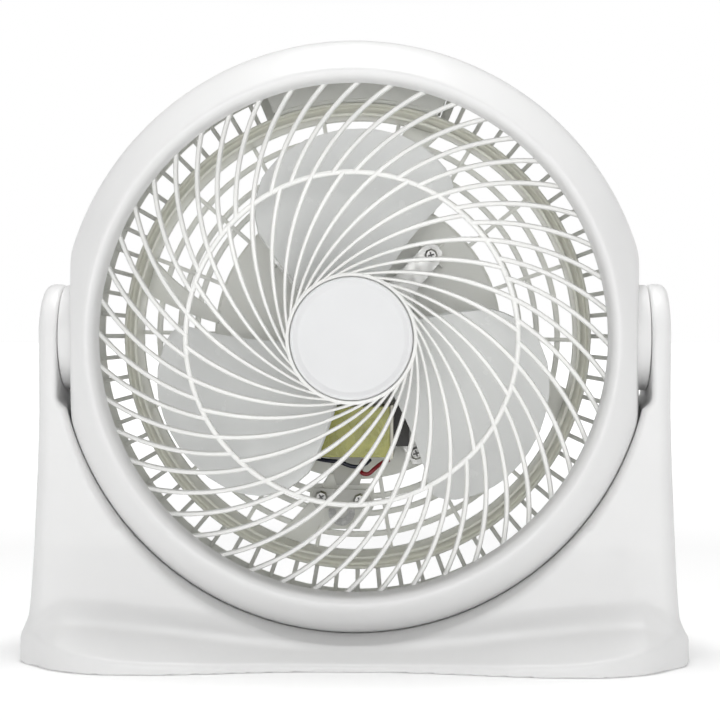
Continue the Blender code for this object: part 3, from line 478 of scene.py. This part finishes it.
def stand_field():
    """The stand as a function of arrays x, y, z, below 0 inside and near its surface a distance."""
    plan = outline_distance(plan_outline(), np.arange(186), np.arange(86))

    def field(x, y, z):
        ax, ay = np.abs(x), np.abs(y)
        rise = z - AXIS_Z
        across = np.where(rise > 0, np.hypot(ay, rise) - ARM_TOP_R, ay - np.interp(z, *ARM_DEPTH))
        arms = cut_round(ax - np.interp(z, *ARM_WIDTH), across, np.interp(z, *ARM_EDGE))

        edge = bilinear(plan, ax, ay)
        slope = np.interp(ax, *FLARE_SLOPE)
        ledge = np.minimum(np.interp(ax, *RIM_FRONT) - ay, np.maximum(BASE_X - ax, 0) * 1.2)
        ledge = np.maximum(0.0, ledge)
        top = (z - np.interp(ax, *RIM_HEIGHT) - slope * ledge) / np.sqrt(1 + slope**2)
        solid = union_round(arms, cut_round(edge, top, 1.6), 9.0)

        # The room that the head swings in. Near the pivots it is 7 mm wider: the cheeks bound it.
        angle = np.degrees(np.arctan2(ax, -rise))
        slope = np.where(angle < STEEP_FROM, np.interp(angle, *CONE_SLOPE), STEEP)
        ahead = np.maximum(-y - LIP_Y, 0.0)
        reach = np.sqrt(SOCKET_R**2 - np.minimum(ay, LIP_Y) ** 2) + slope * ahead
        reach = reach + 7.0 * np.clip((rise + 37.0) / 7.0, 0.0, 1.0)
        space = cut_round(np.hypot(x, rise) - reach, ax - CHEEK_X, 3.0)
        solid = cut_round(solid, -space, np.interp(z, *BOWL_EDGE))

        solid = cut_round(solid, FLOOR_GAP - z, 0.8)
        # The recess for the bottom plate is 2.8 mm deep, cut square.
        recess = np.maximum(np.maximum(edge + 4.2, z - 2.8), top + 2.8)
        solid = np.maximum(solid, -recess)
        pocket = np.maximum(np.hypot(y, rise) - PIVOT_R, PIVOT_X - ax)
        return cut_round(solid, -pocket, 0.6)

    return field


def surface_nets(field, low, high, cell):
    """Vertices and quads of field == 0, one vertex per crossed cell, pulled onto the surface."""
    axes = [np.arange(a, b + cell, cell) for a, b in zip(low, high)]
    x, y, z = np.meshgrid(*axes, indexing="ij", sparse=True)
    shape = tuple(len(a) for a in axes)
    values = np.broadcast_to(field(x, y, z), shape)
    inside = values < 0
    index = np.full(tuple(n - 1 for n in shape), -1, np.int64)
    corners = [(i, j, k) for i in (0, 1) for j in (0, 1) for k in (0, 1)]
    total = np.zeros(index.shape, np.int8)
    for i, j, k in corners:
        total += inside[i:shape[0] - 1 + i, j:shape[1] - 1 + j, k:shape[2] - 1 + k]
    cells = np.argwhere((total > 0) & (total < 8))
    index[tuple(cells.T)] = np.arange(len(cells))
    place = np.zeros((len(cells), 3))
    hits = np.zeros(len(cells))
    for a in corners:
        for axis in range(3):
            if a[axis]:
                continue
            b = tuple(c + (1 if n == axis else 0) for n, c in enumerate(a))
            va = values[tuple((cells + a).T)]
            vb = values[tuple((cells + b).T)]
            crossed = (va < 0) != (vb < 0)
            t = np.where(crossed, va / np.where(crossed, va - vb, 1.0), 0.0)
            at = cells + np.array(a, float)
            at[:, axis] += t
            place += np.where(crossed[:, None], at, 0.0)
            hits += crossed
    place = place / hits[:, None] * cell + np.array(low, float)
    quads = []
    for axis in range(3):
        one, two = [n for n in range(3) if n != axis]
        ahead = [slice(None)] * 3
        ahead[axis] = slice(1, None)
        here = [slice(None)] * 3
        here[axis] = slice(None, -1)
        crossed = inside[tuple(ahead)] != inside[tuple(here)]
        edges = np.argwhere(crossed)
        keep = (edges[:, one] > 0) & (edges[:, two] > 0)
        keep &= (edges[:, one] < shape[one] - 1) & (edges[:, two] < shape[two] - 1)
        edges = edges[keep]
        loop = []
        for da, db in ((-1, -1), (0, -1), (0, 0), (-1, 0)):
            at = edges.copy()
            at[:, one] += da
            at[:, two] += db
            loop.append(index[tuple(at.T)])
        quad = np.stack(loop, axis=1)
        first_inside = inside[tuple(edges.T)]
        flip = first_inside if axis != 1 else ~first_inside
        quad[~flip] = quad[~flip][:, ::-1]
        quads.append(quad)
    return pulled_on(field, place, cell), np.concatenate(quads)


def pulled_on(field, place, cell):
    """The points, moved down the field's slope onto its zero surface in four rounds."""
    nudge = 0.05
    for _ in range(4):
        value = field(*place.T)
        slopes = [(field(*(place + nudge * axis).T) - value) / nudge for axis in np.eye(3)]
        slope = np.stack(slopes, axis=1)
        size = np.maximum(np.sum(slope**2, axis=1), 0.2)
        step = slope * (value / size)[:, None]
        length = np.linalg.norm(step, axis=1)
        step *= np.minimum(1.0, cell * 0.4 / np.maximum(length, 1e-9))[:, None]
        place = place - step
    return place


def array_mesh(name, points, quads, mat):
    mesh = bpy.data.meshes.new(name)
    mesh.vertices.add(len(points))
    mesh.vertices.foreach_set("co", (points * MM).astype(np.float32).ravel())
    mesh.loops.add(len(quads) * 4)
    mesh.loops.foreach_set("vertex_index", quads.astype(np.int32).ravel())
    mesh.polygons.add(len(quads))
    mesh.polygons.foreach_set("loop_start", np.arange(0, len(quads) * 4, 4, dtype=np.int32))
    mesh.update(calc_edges=True)
    mesh.validate()
    return make_object(name, mesh, mat, 40.0)


PLATE_INSET = 4.8


def build_base_plate(grey):
    """A plate that closes the stand underneath, a little in from its rim."""
    loop = np.array(plan_outline(), float)
    ahead = np.roll(loop, -1, axis=0) - np.roll(loop, 1, axis=0)
    normal = np.stack([ahead[:, 1], -ahead[:, 0]], axis=1)
    normal /= np.linalg.norm(normal, axis=1)[:, None]
    outward = math.copysign(1.0, np.sum(normal * loop))
    plan = loop - normal * outward * PLATE_INSET
    levels = ((0.5, 0.9), (0.0, 1.2), (0.0, 2.3), (0.3, 2.5))
    points = []
    for inset, z in levels:
        points += [(x * (1 - inset / 120), y * (1 - inset / 60), z) for x, y in plan]
    shape = points, stack_faces(len(loop), len(levels))
    piece("bottom_plate", shape, grey, "stand", ["base_plate"])


def build_stand(white):
    """The white moulding: two arms, the flared foot and the bowl behind the head."""
    cell = 1.6
    points, quads = surface_nets(stand_field(), (-180.3, -79.7, -1.3), (180.0, 79.5, 200.0), cell)
    shell = array_mesh("stand_shell", points, quads, white)
    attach(shell, "stand")
    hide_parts("stand")


# ---- the head ---------------------------------------------------------------------------------
def soft_limit(value, limit):
    """value, kept within +-limit with a small round where it starts to bite."""
    soft = 1.2
    size = abs(value)
    if size <= limit - soft:
        return value
    over = min((size - limit + soft) / (2 * soft), 1.0)
    return math.copysign(limit - soft + soft * (2 * over - over * over), value)


def flat_at(y):
    """Half width between the head's two flats, which close in towards the front."""
    ahead = -13.0 - y
    return 150.4 - 0.15 * ahead if ahead >= 0 else min(FLAT_X, 150.4 - 0.1 * ahead)


def flattened(shape, size, outside):
    """A turned wall kept within the flats; the first points of each profile are its outside."""
    points = []
    for index, (x, y, z) in enumerate(shape[0]):
        wall = 0.0 if index % size < outside else WALL
        points.append((soft_limit(x, flat_at(y) - wall), y, z))
    return points, shape[1]


SPHERE_R = 157.0
RING_OUTER = [(132.2, -35.6), (132.7, -41.0), (133.9, -45.0), (136.4, -47.4), (139.2, -46.4)]
RING_OUTER += [(144.0, -41.6), (148.6, -36.4), (152.6, -30.6), (154.7, -25.4)]
RING_OUTER += [(math.sqrt(SPHERE_R**2 - y * y), y) for y in (-19.0, -8.0, 4.0, 16.0, 29.9)]
BOSS_R = 28.0
BOLT_R = 4.5


def offset_curve(points, wall):
    """An open curve moved sideways by a wall's thickness, to the left as it runs."""
    result = []
    for index, point in enumerate(points):
        before = points[max(index - 1, 0)]
        after = points[min(index + 1, len(points) - 1)]
        run = Vector((after[0] - before[0], after[1] - before[1])).normalized()
        result.append((point[0] - run.y * wall, point[1] + run.x * wall))
    return result


def smooth_profile(points, steps):
    return [(p.x, p.y) for p in smooth_path([(a, b, 0.0) for a, b in points], steps)]


def build_front_ring(white):
    """The white ring round the head, with the round bosses that the pivot bolts go through."""
    outer = smooth_profile(RING_OUTER, 4)
    inner = offset_curve(outer, WALL)
    lip = [(outer[0][0] - 0.3, outer[0][1] + 1.0), (inner[0][0] - 0.4, inner[0][1] + 0.6)]
    out_r, out_y = outer[-1]
    seam = [(out_r - 0.1, out_y + 0.05), (out_r - 0.9, PARTING), (inner[-1][0] + 0.9, PARTING)]
    profile = outer + seam + inner[::-1] + lip[::-1]
    shapes = [flattened(turned(profile, segments=256), len(profile), len(outer) + 1)]
    for sign in (-1, 1):
        start = sign * (FLAT_X - 8.0)
        end = sign * (CHEEK_X - 0.35)
        corners = [(BOLT_R, start, 0), (BOSS_R, start, 0), (BOSS_R, end, 0.7), (BOLT_R, end, 0.5)]
        shapes.append(turned(rounded(corners), "X", segments=96))
    piece("front_ring_shell", join(*shapes), white, "head", ["front_ring"])


ARC_R = 125.0  # the arc that a spoke follows
ROOT_R = 31.4  # where it starts
SWIRL_PHASE = math.radians(4.95)
INNER_SPOKES = 32
OUTER_SPOKES = 48
GRILLE_Y = -46.4  # middle of the spokes' depth, where the grille is flat
FLAT_TO_R = 84.0


def spoke_angle(radius):
    """How far round a spoke has gone at a distance from the axis."""
    offset = ARC_R - ROOT_R
    turn = math.acos((offset**2 + ARC_R**2 - radius**2) / (2 * ARC_R * offset))
    arc = math.atan2(ARC_R * math.sin(turn), ARC_R * math.cos(turn) - offset)
    return arc + math.radians(4.9 - 0.031 * radius)


def grille_y(radius):
    """Middle of the grille's thickness: flat to the middle ring, then curving back to the lip."""
    curve = max(0.0, (radius - FLAT_TO_R) / 47.0)
    return GRILLE_Y + 13.2 * curve**1.55


def spoke(start, first, last, steps):
    """One swirled spoke from the first radius to the last, with a rounded section."""
    radii = [first + (last - first) * (k / steps) for k in range(steps + 1)]
    path = []
    for radius in radii:
        x, z = polar(radius, start + spoke_angle(radius))
        path.append(Vector((x, grille_y(radius), z + AXIS_Z)))
    sections = []
    for k, point in enumerate(path):
        ahead = (path[min(k + 1, steps)] - path[max(k - 1, 0)]).normalized()
        side = ahead.cross(Vector((0, 1, 0))).normalized()
        out = side.cross(ahead).normalized()
        width = 0.80 + 0.52 * min(1.0, max(0.0, (radii[k] - 33.0) / 34.0))
        loop = []
        for n in range(12):
            a = math.tau * n / 12
            c, s = math.cos(a), math.sin(a)
            depth = 1.55 if s > 0 else 1.9
            power = 2.6
            swell = 1.0 / (abs(c) ** power + abs(s) ** power) ** (1 / power)
            loop.append(tuple(point + side * (c * swell * width) + out * (s * swell * depth)))
        sections.append(loop)
    return swept(sections)


def build_grille(white):
    """The front grille: two rows of swirled spokes, its three rings and the disc behind the cap."""
    shapes = []
    for k in range(INNER_SPOKES):
        shapes.append(spoke(SWIRL_PHASE + math.tau * k / INNER_SPOKES, 32.6, 85.2, 22))
    for k in range(OUTER_SPOKES):
        shapes.append(spoke(SWIRL_PHASE + math.tau * k / OUTER_SPOKES, 84.6, 133.8, 14))
    hub = rounded([(31.9, -43.5, 0.3), (31.9, -48.9, 0.7), (33.9, -48.2, 0.8), (34.2, -43.5, 0.4)])
    middle = rounded([(83.9, -44.6, 0.6), (83.9, -47.9, 1.1), (86.6, -47.9, 1.1), (86.6, -44.6, 0.6)])
    back = rounded([(0.0, -45.2, 0), (33.0, -45.2, 0.4), (33.0, -42.9, 0.6), (0.0, -42.9, 0)])
    rim = rounded([(133.2, -34.6, 0.7), (133.2, -31.6, 0.7), (136.6, -31.6, 0.5), (136.6, -34.6, 0.5)])
    for profile, segments in ((hub, 160), (middle, 224), (back, 96), (rim, 224)):
        shapes.append(turned(profile, segments=segments))
    piece("swirl_grille", join(*shapes), white, "head", ["front_grille"])


def build_cap(mat):
    """The plain round cap in the middle, very slightly dished, with a soft edge."""
    edge = [(ROOT_R, -45.6, 0), (ROOT_R, -50.2, 1.2), (29.8, -50.3, 1.0), (27.5, -49.6, 3.0)]
    profile = [(0.0, -45.4), (ROOT_R, -45.4)] + rounded(edge + [(0, -49.3, 0)])[1:]
    piece("centre_cap", turned(profile, segments=160), mat, "head", ["hub_cap"])


def rib(inner_r, outer_r, angle, width, low, high):
    """A straight radial rib with drafted sides and rounded edges."""
    c, s = math.cos(angle), math.sin(angle)
    draft = 0.15
    corners = [(-width / 2, low, 0.5), (width / 2, low, 0.5)]
    corners += [(width / 2 - draft, high, 0.25), (-width / 2 + draft, high, 0.25)]
    sections = []
    for radius in (inner_r, outer_r):
        loop = rounded(corners, 2)
        sections.append([(radius * s + t * c, y, radius * c - t * s + AXIS_Z) for t, y in loop])
    return swept(sections)


INSIDE_Y = 45.8  # the inner face of the rear cover's plate
PLATE_R = 80.6
BAND_R = (120.2, 130.4)  # the ring that the duct stands on
REAR_RINGS = (90.5, 100.0, 111.6)
INNER_RIBS = 18
OUTER_RIBS = 72
WIDE_ARMS = (13.0, 104.0, 193.0, 281.0)
HALF_HANDLE = math.radians(20.5)  # the handle's pocket takes this much on each side of the top
HANDLE_GAP = 0.004
MOTOR_EARS = ((-41.0, 45.0), (41.0, 45.0), (-33.0, -65.0), (33.0, -65.0))
CLAMP_SCREWS = ((-20.0, -89.5), (1.5, -91.0))


def wide_arm(middle):
    """A slanted arm from the plate to the band, wider towards the band."""
    sides = []
    for half in (-2.9, 2.9):
        side = []
        for radius in (78.5, 90, 100, 110, 121):
            widened = half * (1 + (radius - 90) * 0.018)
            slant = (radius - 97) * 0.2
            side.append(polar(radius, math.radians(middle + widened + slant)))
        sides.append(side if half < 0 else side[::-1])
    return extruded(sides[0] + sides[1], INSIDE_Y - 1.8, BACK_Y - 0.2, 0.6)


def rear_wall():
    """The cover's outer wall, from the seam back to the collar."""
    seam_y = PARTING + 0.35
    line = [(148.8, 45.6), (150.7, 42.6), (152.1, 38.4), (153.2, 34.0), (153.95, seam_y)]
    outer = smooth_profile(line, 4)
    inner = offset_curve(outer, -WALL)[::-1]
    inner[0] = (inner[0][0], seam_y)
    wall = outer + inner
    return flattened(turned(wall, segments=256), len(wall), len(outer))


def block(inner_r, outer_r, low, high, edges, steps):
    """A four-cornered profile, with one round for its low corners and one for its high ones."""
    corners = [(inner_r, low, edges[0]), (outer_r, low, edges[0])]
    return rounded(corners + [(outer_r, high, edges[1]), (inner_r, high, edges[1])], steps)


def build_rear(grey):
    """The rear cover: motor plate, rings, ribs, wide arms, wall and the handle pocket's sides."""
    low = INSIDE_Y
    plate = [(6.5, low, 0), (79.0, low, 0.8), (PLATE_R, low + 1.2, 0.8)]
    plate += [(PLATE_R, BACK_Y, 0.8), (6.5, BACK_Y, 0)]
    shapes = [turned(rounded(plate), segments=160)]
    for radius in REAR_RINGS:
        ring = [(radius - 1.6, low - 0.6, 0.7), (radius + 1.6, low - 0.6, 0.7)]
        ring += [(radius + 1.5, BACK_Y, 0.5), (radius - 1.5, BACK_Y, 0.5)]
        shapes.append(turned(rounded(ring, 3), segments=200))
    shapes.append(turned(block(*BAND_R, low, BACK_Y, (0.5, 0.6), 3), segments=224))
    for k in range(INNER_RIBS):
        angle = math.radians(11 + 360 / INNER_RIBS * k)
        shapes.append(rib(80.0, 120.6, angle, 2.3, low - 1.5, BACK_Y - 0.3))
    for k in range(OUTER_RIBS):
        angle = math.tau * k / OUTER_RIBS
        if math.radians(21.5) < angle < math.tau - math.radians(21.5):
            shapes.append(rib(129.6, 143.8, angle, 2.4, low - 5.0, BACK_Y - 0.3))
    shapes += [wide_arm(middle) for middle in WIDE_ARMS]
    strip = block(129.0, 132.4, 30.4, low + 1, (0.6, 0.3), 3)
    shapes.append(turned(strip, segments=32, arc=(-HALF_HANDLE + 0.006, HALF_HANDLE - 0.006)))
    collar = [(142.4, low, 0.5), (142.4, BACK_Y - 0.2, 1.2), (146.4, 47.9, 2.0)]
    collar += [(149.6, 45.4, 0.3), (149.0, 42.4, 0.2), (146.0, 45.0, 1.0)]
    side = HALF_HANDLE + HANDLE_GAP
    shapes.append(turned(rounded(collar, 3), segments=224, arc=(side, math.tau - side)))
    shapes.append(rear_wall())
    cheek = block(130.0, 143.0, low, BACK_Y, (0.3, 0.3), 2)
    for sign in (-1, 1):
        arc = sorted((sign * side, sign * math.radians(22.8)))
        shapes.append(turned(cheek, segments=6, arc=arc))
    piece("rear_grille_cover", join(*shapes), grey, "head", ["rear_cover"])


def spun(outline, angle, x, z):
    """An outline turned by an angle and moved to x, z."""
    c, s = math.cos(angle), math.sin(angle)
    return [(x + u * c - v * s, z + u * s + v * c) for u, v in outline]


def build_rear_posts(grey):
    """Screw posts on the rear cover's plate: four with fins for the motor, two on a pad for the clamp."""
    foot = INSIDE_Y + 0.4
    fin = [(4.8, -0.7), (9.5, -0.7), (9.5, 0.7), (4.8, 0.7)]
    posts = []
    for x, z in MOTOR_EARS:
        profile = rounded([(1.9, 37.8, 0.2), (5.0, 37.8, 0.5), (5.6, foot, 0.4), (1.9, foot, 0)], 3)
        posts.append(turned(profile, at=(x, 0, AXIS_Z + z), segments=40))
        for k in range(4):
            angle = math.tau * k / 4 + math.pi / 4
            posts.append(extruded(spun(fin, angle, x, z), 41.5, foot, 0.25, 1))
    for x, z in CLAMP_SCREWS:
        profile = rounded([(1.8, 37.3, 0.2), (4.2, 37.3, 0.5), (4.7, foot, 0.4), (1.8, foot, 0)], 3)
        posts.append(turned(profile, at=(x, 0, AXIS_Z + z), segments=40))
    pad = [(-27, -83), (9, -83), (9, -96), (1, -108.5), (-19, -108.5), (-27, -97)]
    posts.append(extruded(pad, 44.4, BACK_Y - 0.5, 0.6))
    piece("rear_posts", join(*posts), grey, "head", ())


RED_ROUTE = ((4, 19, -67.6), (2.2, 16, -71.0), (3.4, 14.2, -74.2), (7.0, 13.6, -74.6))
RED_ROUTE += ((10.4, 14.2, -71.8), (14.5, 17, -68.8), (18, 19.4, -67.6))
BLUE_ROUTE = ((-23, 17.8, -66.4), (-16, 16.2, -67.6), (-9, 15, -68.3), (-3.2, 14.2, -70.3))
BLUE_ROUTE += ((1.2, 14, -70.8), (5.4, 16, -69.2), (7.6, 18.6, -67.4))
WIRE_R = 1.15
EAR_SCREW_Y = 33.6  # the front of the motor screws' heads
CLAMP_SCREW_Y = 32.1  # and of the clamp screws' heads


def build_screw_recess_shades(dark):
    """A dark cross on the head of each screw that faces the front: painted shade standing in for the shadow
    inside its recess.
    """
    long, thin, waist = 1.9, 0.4, 0.45
    plus = [(waist, waist), (long, thin), (long, -thin), (waist, -waist), (thin, -long), (-thin, -long)]
    plus += [(-u, -v) for u, v in plus]
    rows = ((MOTOR_EARS, EAR_SCREW_Y, 0.3), (CLAMP_SCREWS, CLAMP_SCREW_Y, 0.6))
    shapes = []
    for spots, front, angle in rows:
        for x, z in spots:
            shapes.append(extruded(spun(plus, angle, x, z), front - 0.08, front + 0.2, 0.03, 1))
    piece("screw_recess_shades", join(*shapes), dark, "head", ())


def build_wires(mats):
    """The two wires that loop out below the coil."""
    for name, route in (("red", RED_ROUTE), ("blue", BLUE_ROUTE)):
        shape = wire([(x, y, z + AXIS_Z) for x, y, z in route], WIRE_R)
        piece(name + "_wire", shape, mats[name], "head", [name + "_lead"])


def build_duct(beige):
    """The U-shaped channel round the blades: two walls and a floor between them."""
    seat = 45.6
    corners = [(120.6, 20.0, 0.9), (122.6, 20.0, 0.9), (123.3, 28.5, 2.0), (126.4, 30.5, 2.0)]
    corners += [(127.1, 28.0, 0.8), (128.8, 28.0, 0.8), (129.3, seat, 0.3), (120.6, seat, 0.3)]
    shape = turned(rounded(corners), segments=224)
    piece("duct_channel", shape, beige, "head", ["duct_ring"])


# ---- the blades -------------------------------------------------------------------------------
# The two edges of a blade as (radius, degrees clockwise from the top).
FIRST_EDGE = ((20, 73), (34.8, 74), (57, 76), (74.3, 78.2), (85.7, 83))
FIRST_EDGE += ((97, 90.5), (103.6, 98), (108.2, 107), (110.9, 117), (111.6, 124))
SECOND_EDGE = ((20, 143), (43.1, 146.7), (70, 150.6), (92, 153.8), (95.7, 153.6))
SECOND_EDGE += ((99, 151.6), (103.1, 148), (108.4, 140), (110.8, 133), (111.6, 126))
BLADE_RADII = (20.2, 26, 34, 42, 50, 58, 66, 74, 80, 86)
BLADE_RADII += (91, 94.5, 97, 100, 103, 105.5, 107.8, 109.6, 110.8, 111.4)
BLADES = 3
BLADE_FRONT_Y = -31.6
BLADE_DEPTH = 36.0
BLADE_BELLY = 5.5  # how far the middle bulges from a plain screw, at a radius of 110


def blade(turn):
    """One blade as a single twisted sheet; thickness and round edges come from its modifiers."""
    columns = 26
    points = []
    for radius in BLADE_RADII:
        first = np.interp(radius, *zip(*FIRST_EDGE))
        last = np.interp(radius, *zip(*SECOND_EDGE))
        for k in range(columns + 1):
            angle = first + (last - first) * k / columns
            t = (angle - 74.0) / 78.0
            belly = BLADE_BELLY * math.sin(math.pi * min(max(t, 0.0), 1.0)) * (radius / 110.0)
            x, z = polar(radius, math.radians(angle) + turn)
            points.append((x, BLADE_FRONT_Y + BLADE_DEPTH * t + belly, z + AXIS_Z))
    faces = []
    for row in range(len(BLADE_RADII) - 1):
        for k in range(columns):
            a = row * (columns + 1) + k
            faces.append([a, a + 1, a + columns + 2, a + columns + 1])
    return points, faces


def build_impeller(grey):
    """Three blades and the cup-shaped hub between them."""
    blades = join(*[blade(math.tau * k / BLADES) for k in range(BLADES)])
    sheet = piece("blade_sheets", blades, grey, "impeller", ())
    solid = sheet.modifiers.new("thickness", "SOLIDIFY")
    solid.thickness = 1.9 * MM
    solid.offset = 0.0
    add_bevel(sheet, "soft_edges", 0.75, 3)
    hub = [(3.3, -31.0, 0.3), (17.5, -31.0, 3.0), (21.0, -27.5, 1.5), (21.0, 7.0, 0.6), (18.6, 7.0, 0.6)]
    hub += [(17.6, -26.0, 2.0), (8.0, -28.0, 1.0), (8.0, 7.0, 0.5), (3.3, 7.0, 0.2)]
    shape = turned(rounded(hub), segments=96)
    piece("blade_hub", shape, grey, "impeller", ["fan_blades"])


# ---- the rest ---------------------------------------------------------------------------------
def add_bevel(obj, name, width, segments):
    bevel = obj.modifiers.new(name, "BEVEL")
    bevel.width = width * MM
    bevel.segments = segments
    bevel.limit_method = "ANGLE"
    bevel.angle_limit = math.radians(50)


def finish_node(node, mat, edge):
    """Gives a node that shows as it is its material, and breaks its edges by so many millimetres."""
    node.data.materials.clear()
    node.data.materials.append(mat)
    if edge:
        add_bevel(node, "broken_edges", edge, 2)


# Grey of the surroundings, from straight down to straight up.
SKY = ((0.0, 1.0), (0.16, 1.0), (0.3, 0.16), (0.62, 0.16), (0.8, 0.6), (1.0, 0.6))
# Each lamp's name, place in metres, size in metres and power in watts.
LAMPS = (
    ("front_light", (0.0, -2.3, 0.12), 1.3, 25.0),
    ("top_light", (0.0, 0.05, 2.0), 0.6, 22.0),
)
LAMPS_AIM = Vector((0, 0, 0.16))
CAMERA_AT = Vector((0.0373, -1.0, 0.1834))
CAMERA_AIM = Vector((0.0028, 0.0, 0.1563))
CAMERA_LENS = 93.2
FLOOR_HALF = 9000


def aimed(name, data, place, aim):
    """A lamp or camera in the scene, looking at a point."""
    obj = bpy.data.objects.new(name, data)
    obj.location = place
    obj.rotation_euler = (aim - Vector(place)).to_track_quat("-Z", "Y").to_euler()
    bpy.context.scene.collection.objects.link(obj)
    return obj


def stage_floor():
    """A white floor that glows more and more away from the fan, so that it has no horizon."""
    floor_mat, tree, shader = shader_of("studio_floor")
    shader.inputs["Base Color"].default_value = (0.9, 0.9, 0.9, 1)
    shader.inputs["Emission Color"].default_value = (1, 1, 1, 1)
    place = tree.nodes.new("ShaderNodeTexCoord")
    length = tree.nodes.new("ShaderNodeVectorMath")
    length.operation = "LENGTH"
    tree.links.new(place.outputs["Object"], length.inputs[0])
    glow = range_on(tree, length.outputs["Value"], 0.13, 0.9, 0.5, 1.9)
    tree.links.new(glow.outputs["Result"], shader.inputs["Emission Strength"])
    shader.inputs["Roughness"].default_value = 0.9
    shader.inputs["Specular IOR Level"].default_value = 0.1
    h = FLOOR_HALF
    corners = [(-h, -h, 0), (h, -h, 0), (h, h, 0), (-h, h, 0)]
    make_mesh("floor", corners, [[0, 1, 2, 3]], floor_mat)


def stage_light_and_camera():
    world = bpy.data.worlds.new("studio")
    world.use_nodes = True
    tree = world.node_tree
    coords = tree.nodes.new("ShaderNodeTexCoord")
    height = tree.nodes.new("ShaderNodeSeparateXYZ")
    tree.links.new(coords.outputs["Generated"], height.inputs["Vector"])
    sky = ramp_on(tree, height.outputs["Z"], [(at, (shade,) * 3) for at, shade in SKY])
    tree.links.new(sky.outputs["Color"], tree.nodes["Background"].inputs["Color"])
    bpy.context.scene.world = world
    for name, place, size, power in LAMPS:
        lamp = bpy.data.lights.new(name, "AREA")
        lamp.size = size
        lamp.energy = power
        aimed(name, lamp, place, LAMPS_AIM)
    camera = bpy.data.cameras.new("camera")
    camera.lens = CAMERA_LENS
    camera.sensor_width = 36.0
    bpy.context.scene.camera = aimed("camera", camera, CAMERA_AT, CAMERA_AIM)
    bpy.context.scene.view_settings.view_transform = "Standard"


def make_materials():
    return {
        "white": plastic("white_plastic", (0.76, 0.76, 0.757), 0.38, 0.01),
        "grille": plastic("grille_white", (0.82, 0.82, 0.8), 0.32, 0.012),
        "cap": plastic("cap_grey", (0.715, 0.72, 0.725), 0.42, 0.01),
        # The rear grey, the duct's beige and the blades' grey are set lighter than the white ring. This is
        # partly their own colours and partly painted light that makes up for the shade inside the drum.
        "rear": plastic("rear_grey_with_painted_light", (0.82, 0.825, 0.785), 0.42, 0.012),
        "duct": plastic("duct_beige_with_painted_light", (0.86, 0.86, 0.77), 0.42, 0.02),
        "blade": plastic("blade_grey_with_painted_light", (0.79, 0.8, 0.79), 0.22, 0.012),
        "under": plastic("underside_grey", (0.42, 0.42, 0.42), 0.55, 0.04),
        "pale": plastic("clamp_grey", (0.55, 0.55, 0.52), 0.45, 0.04),
        "nylon": plastic("nylon", (0.72, 0.70, 0.6), 0.4, 0.04),
        "dark": plastic("phenolic", (0.02, 0.02, 0.022), 0.45, 0.2),
        "nut": plastic("nut_grey", (0.12, 0.12, 0.12), 0.45, 0.1),
        "red": plastic("red_wire", (0.22, 0.008, 0.015), 0.3, 0.1),
        "blue": plastic("blue_wire", (0.006, 0.009, 0.022), 0.3, 0.2),
        "steel": metal("zinc_steel", (0.5, 0.5, 0.49), 0.42),
        "shaft": metal("ground_steel", (0.6, 0.6, 0.62), 0.25),
        "bronze": metal("bronze", (0.45, 0.3, 0.14), 0.4),
        "iron": laminations("lamination_iron"),
        "tape": coil_tape("coil_tape"),
        "rubber": rubber("foot_rubber", (0.02, 0.02, 0.02)),
        "gland": rubber("gland_rubber", (0.5, 0.5, 0.5)),
    }


# Nodes that show as they are: the material's key, and how far their edges are broken.
KEPT = {
    "handle_cup": ("rear", 0.4), "stator_core": ("iron", 0.3), "coil_bobbin": ("nylon", 0.2),
    "coil_winding": ("tape", 2.0), "front_bearing_bracket": ("steel", 0.3),
    "front_bearing": ("bronze", 0.3), "rear_bearing": ("bronze", 0.3),
    "motor_mount_plate": ("steel", 0.2), "rotary_switch": ("dark", 0.4),
    "switch_nut": ("steel", 0.3), "cord_gland": ("gland", 0.3), "cord_clamp": ("pale", 0.5),
    "lead_cover": ("pale", 0.5), "motor_shaft": ("shaft", 0), "blade_nut": ("nut", 0.3),
    "rotor": ("iron", 0.3), "thrust_washer": ("nylon", 0), "speed_knob": ("white", 0.4),
    "pivot_cap_left": ("white", 0.2), "pivot_cap_right": ("white", 0.2),
}
FOOT = ("rubber", 0.3)
FASTENER = ("steel", 0.15)


def finish_kept_nodes(frame, mats):
    """Feet are rubber, and a node that's neither listed nor replaced is a steel fastener."""
    for name, node in frame["nodes"].items():
        if name not in KEPT and not name.startswith("foot") and node.hide_render:
            continue
        mat, edge = KEPT.get(name, FOOT if name.startswith("foot") else FASTENER)
        finish_node(node, mats[mat], edge)


def main():
    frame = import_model()
    mats = make_materials()
    build_stand(mats["white"])
    build_base_plate(mats["under"])
    build_front_ring(mats["white"])
    build_grille(mats["grille"])
    build_cap(mats["cap"])
    build_rear(mats["rear"])
    build_rear_posts(mats["rear"])
    build_duct(mats["duct"])
    build_screw_recess_shades(mats["nut"])
    build_wires(mats)
    build_impeller(mats["blade"])
    finish_kept_nodes(frame, mats)
    stage_floor()
    stage_light_and_camera()
    bpy.context.view_layer.update()


main()
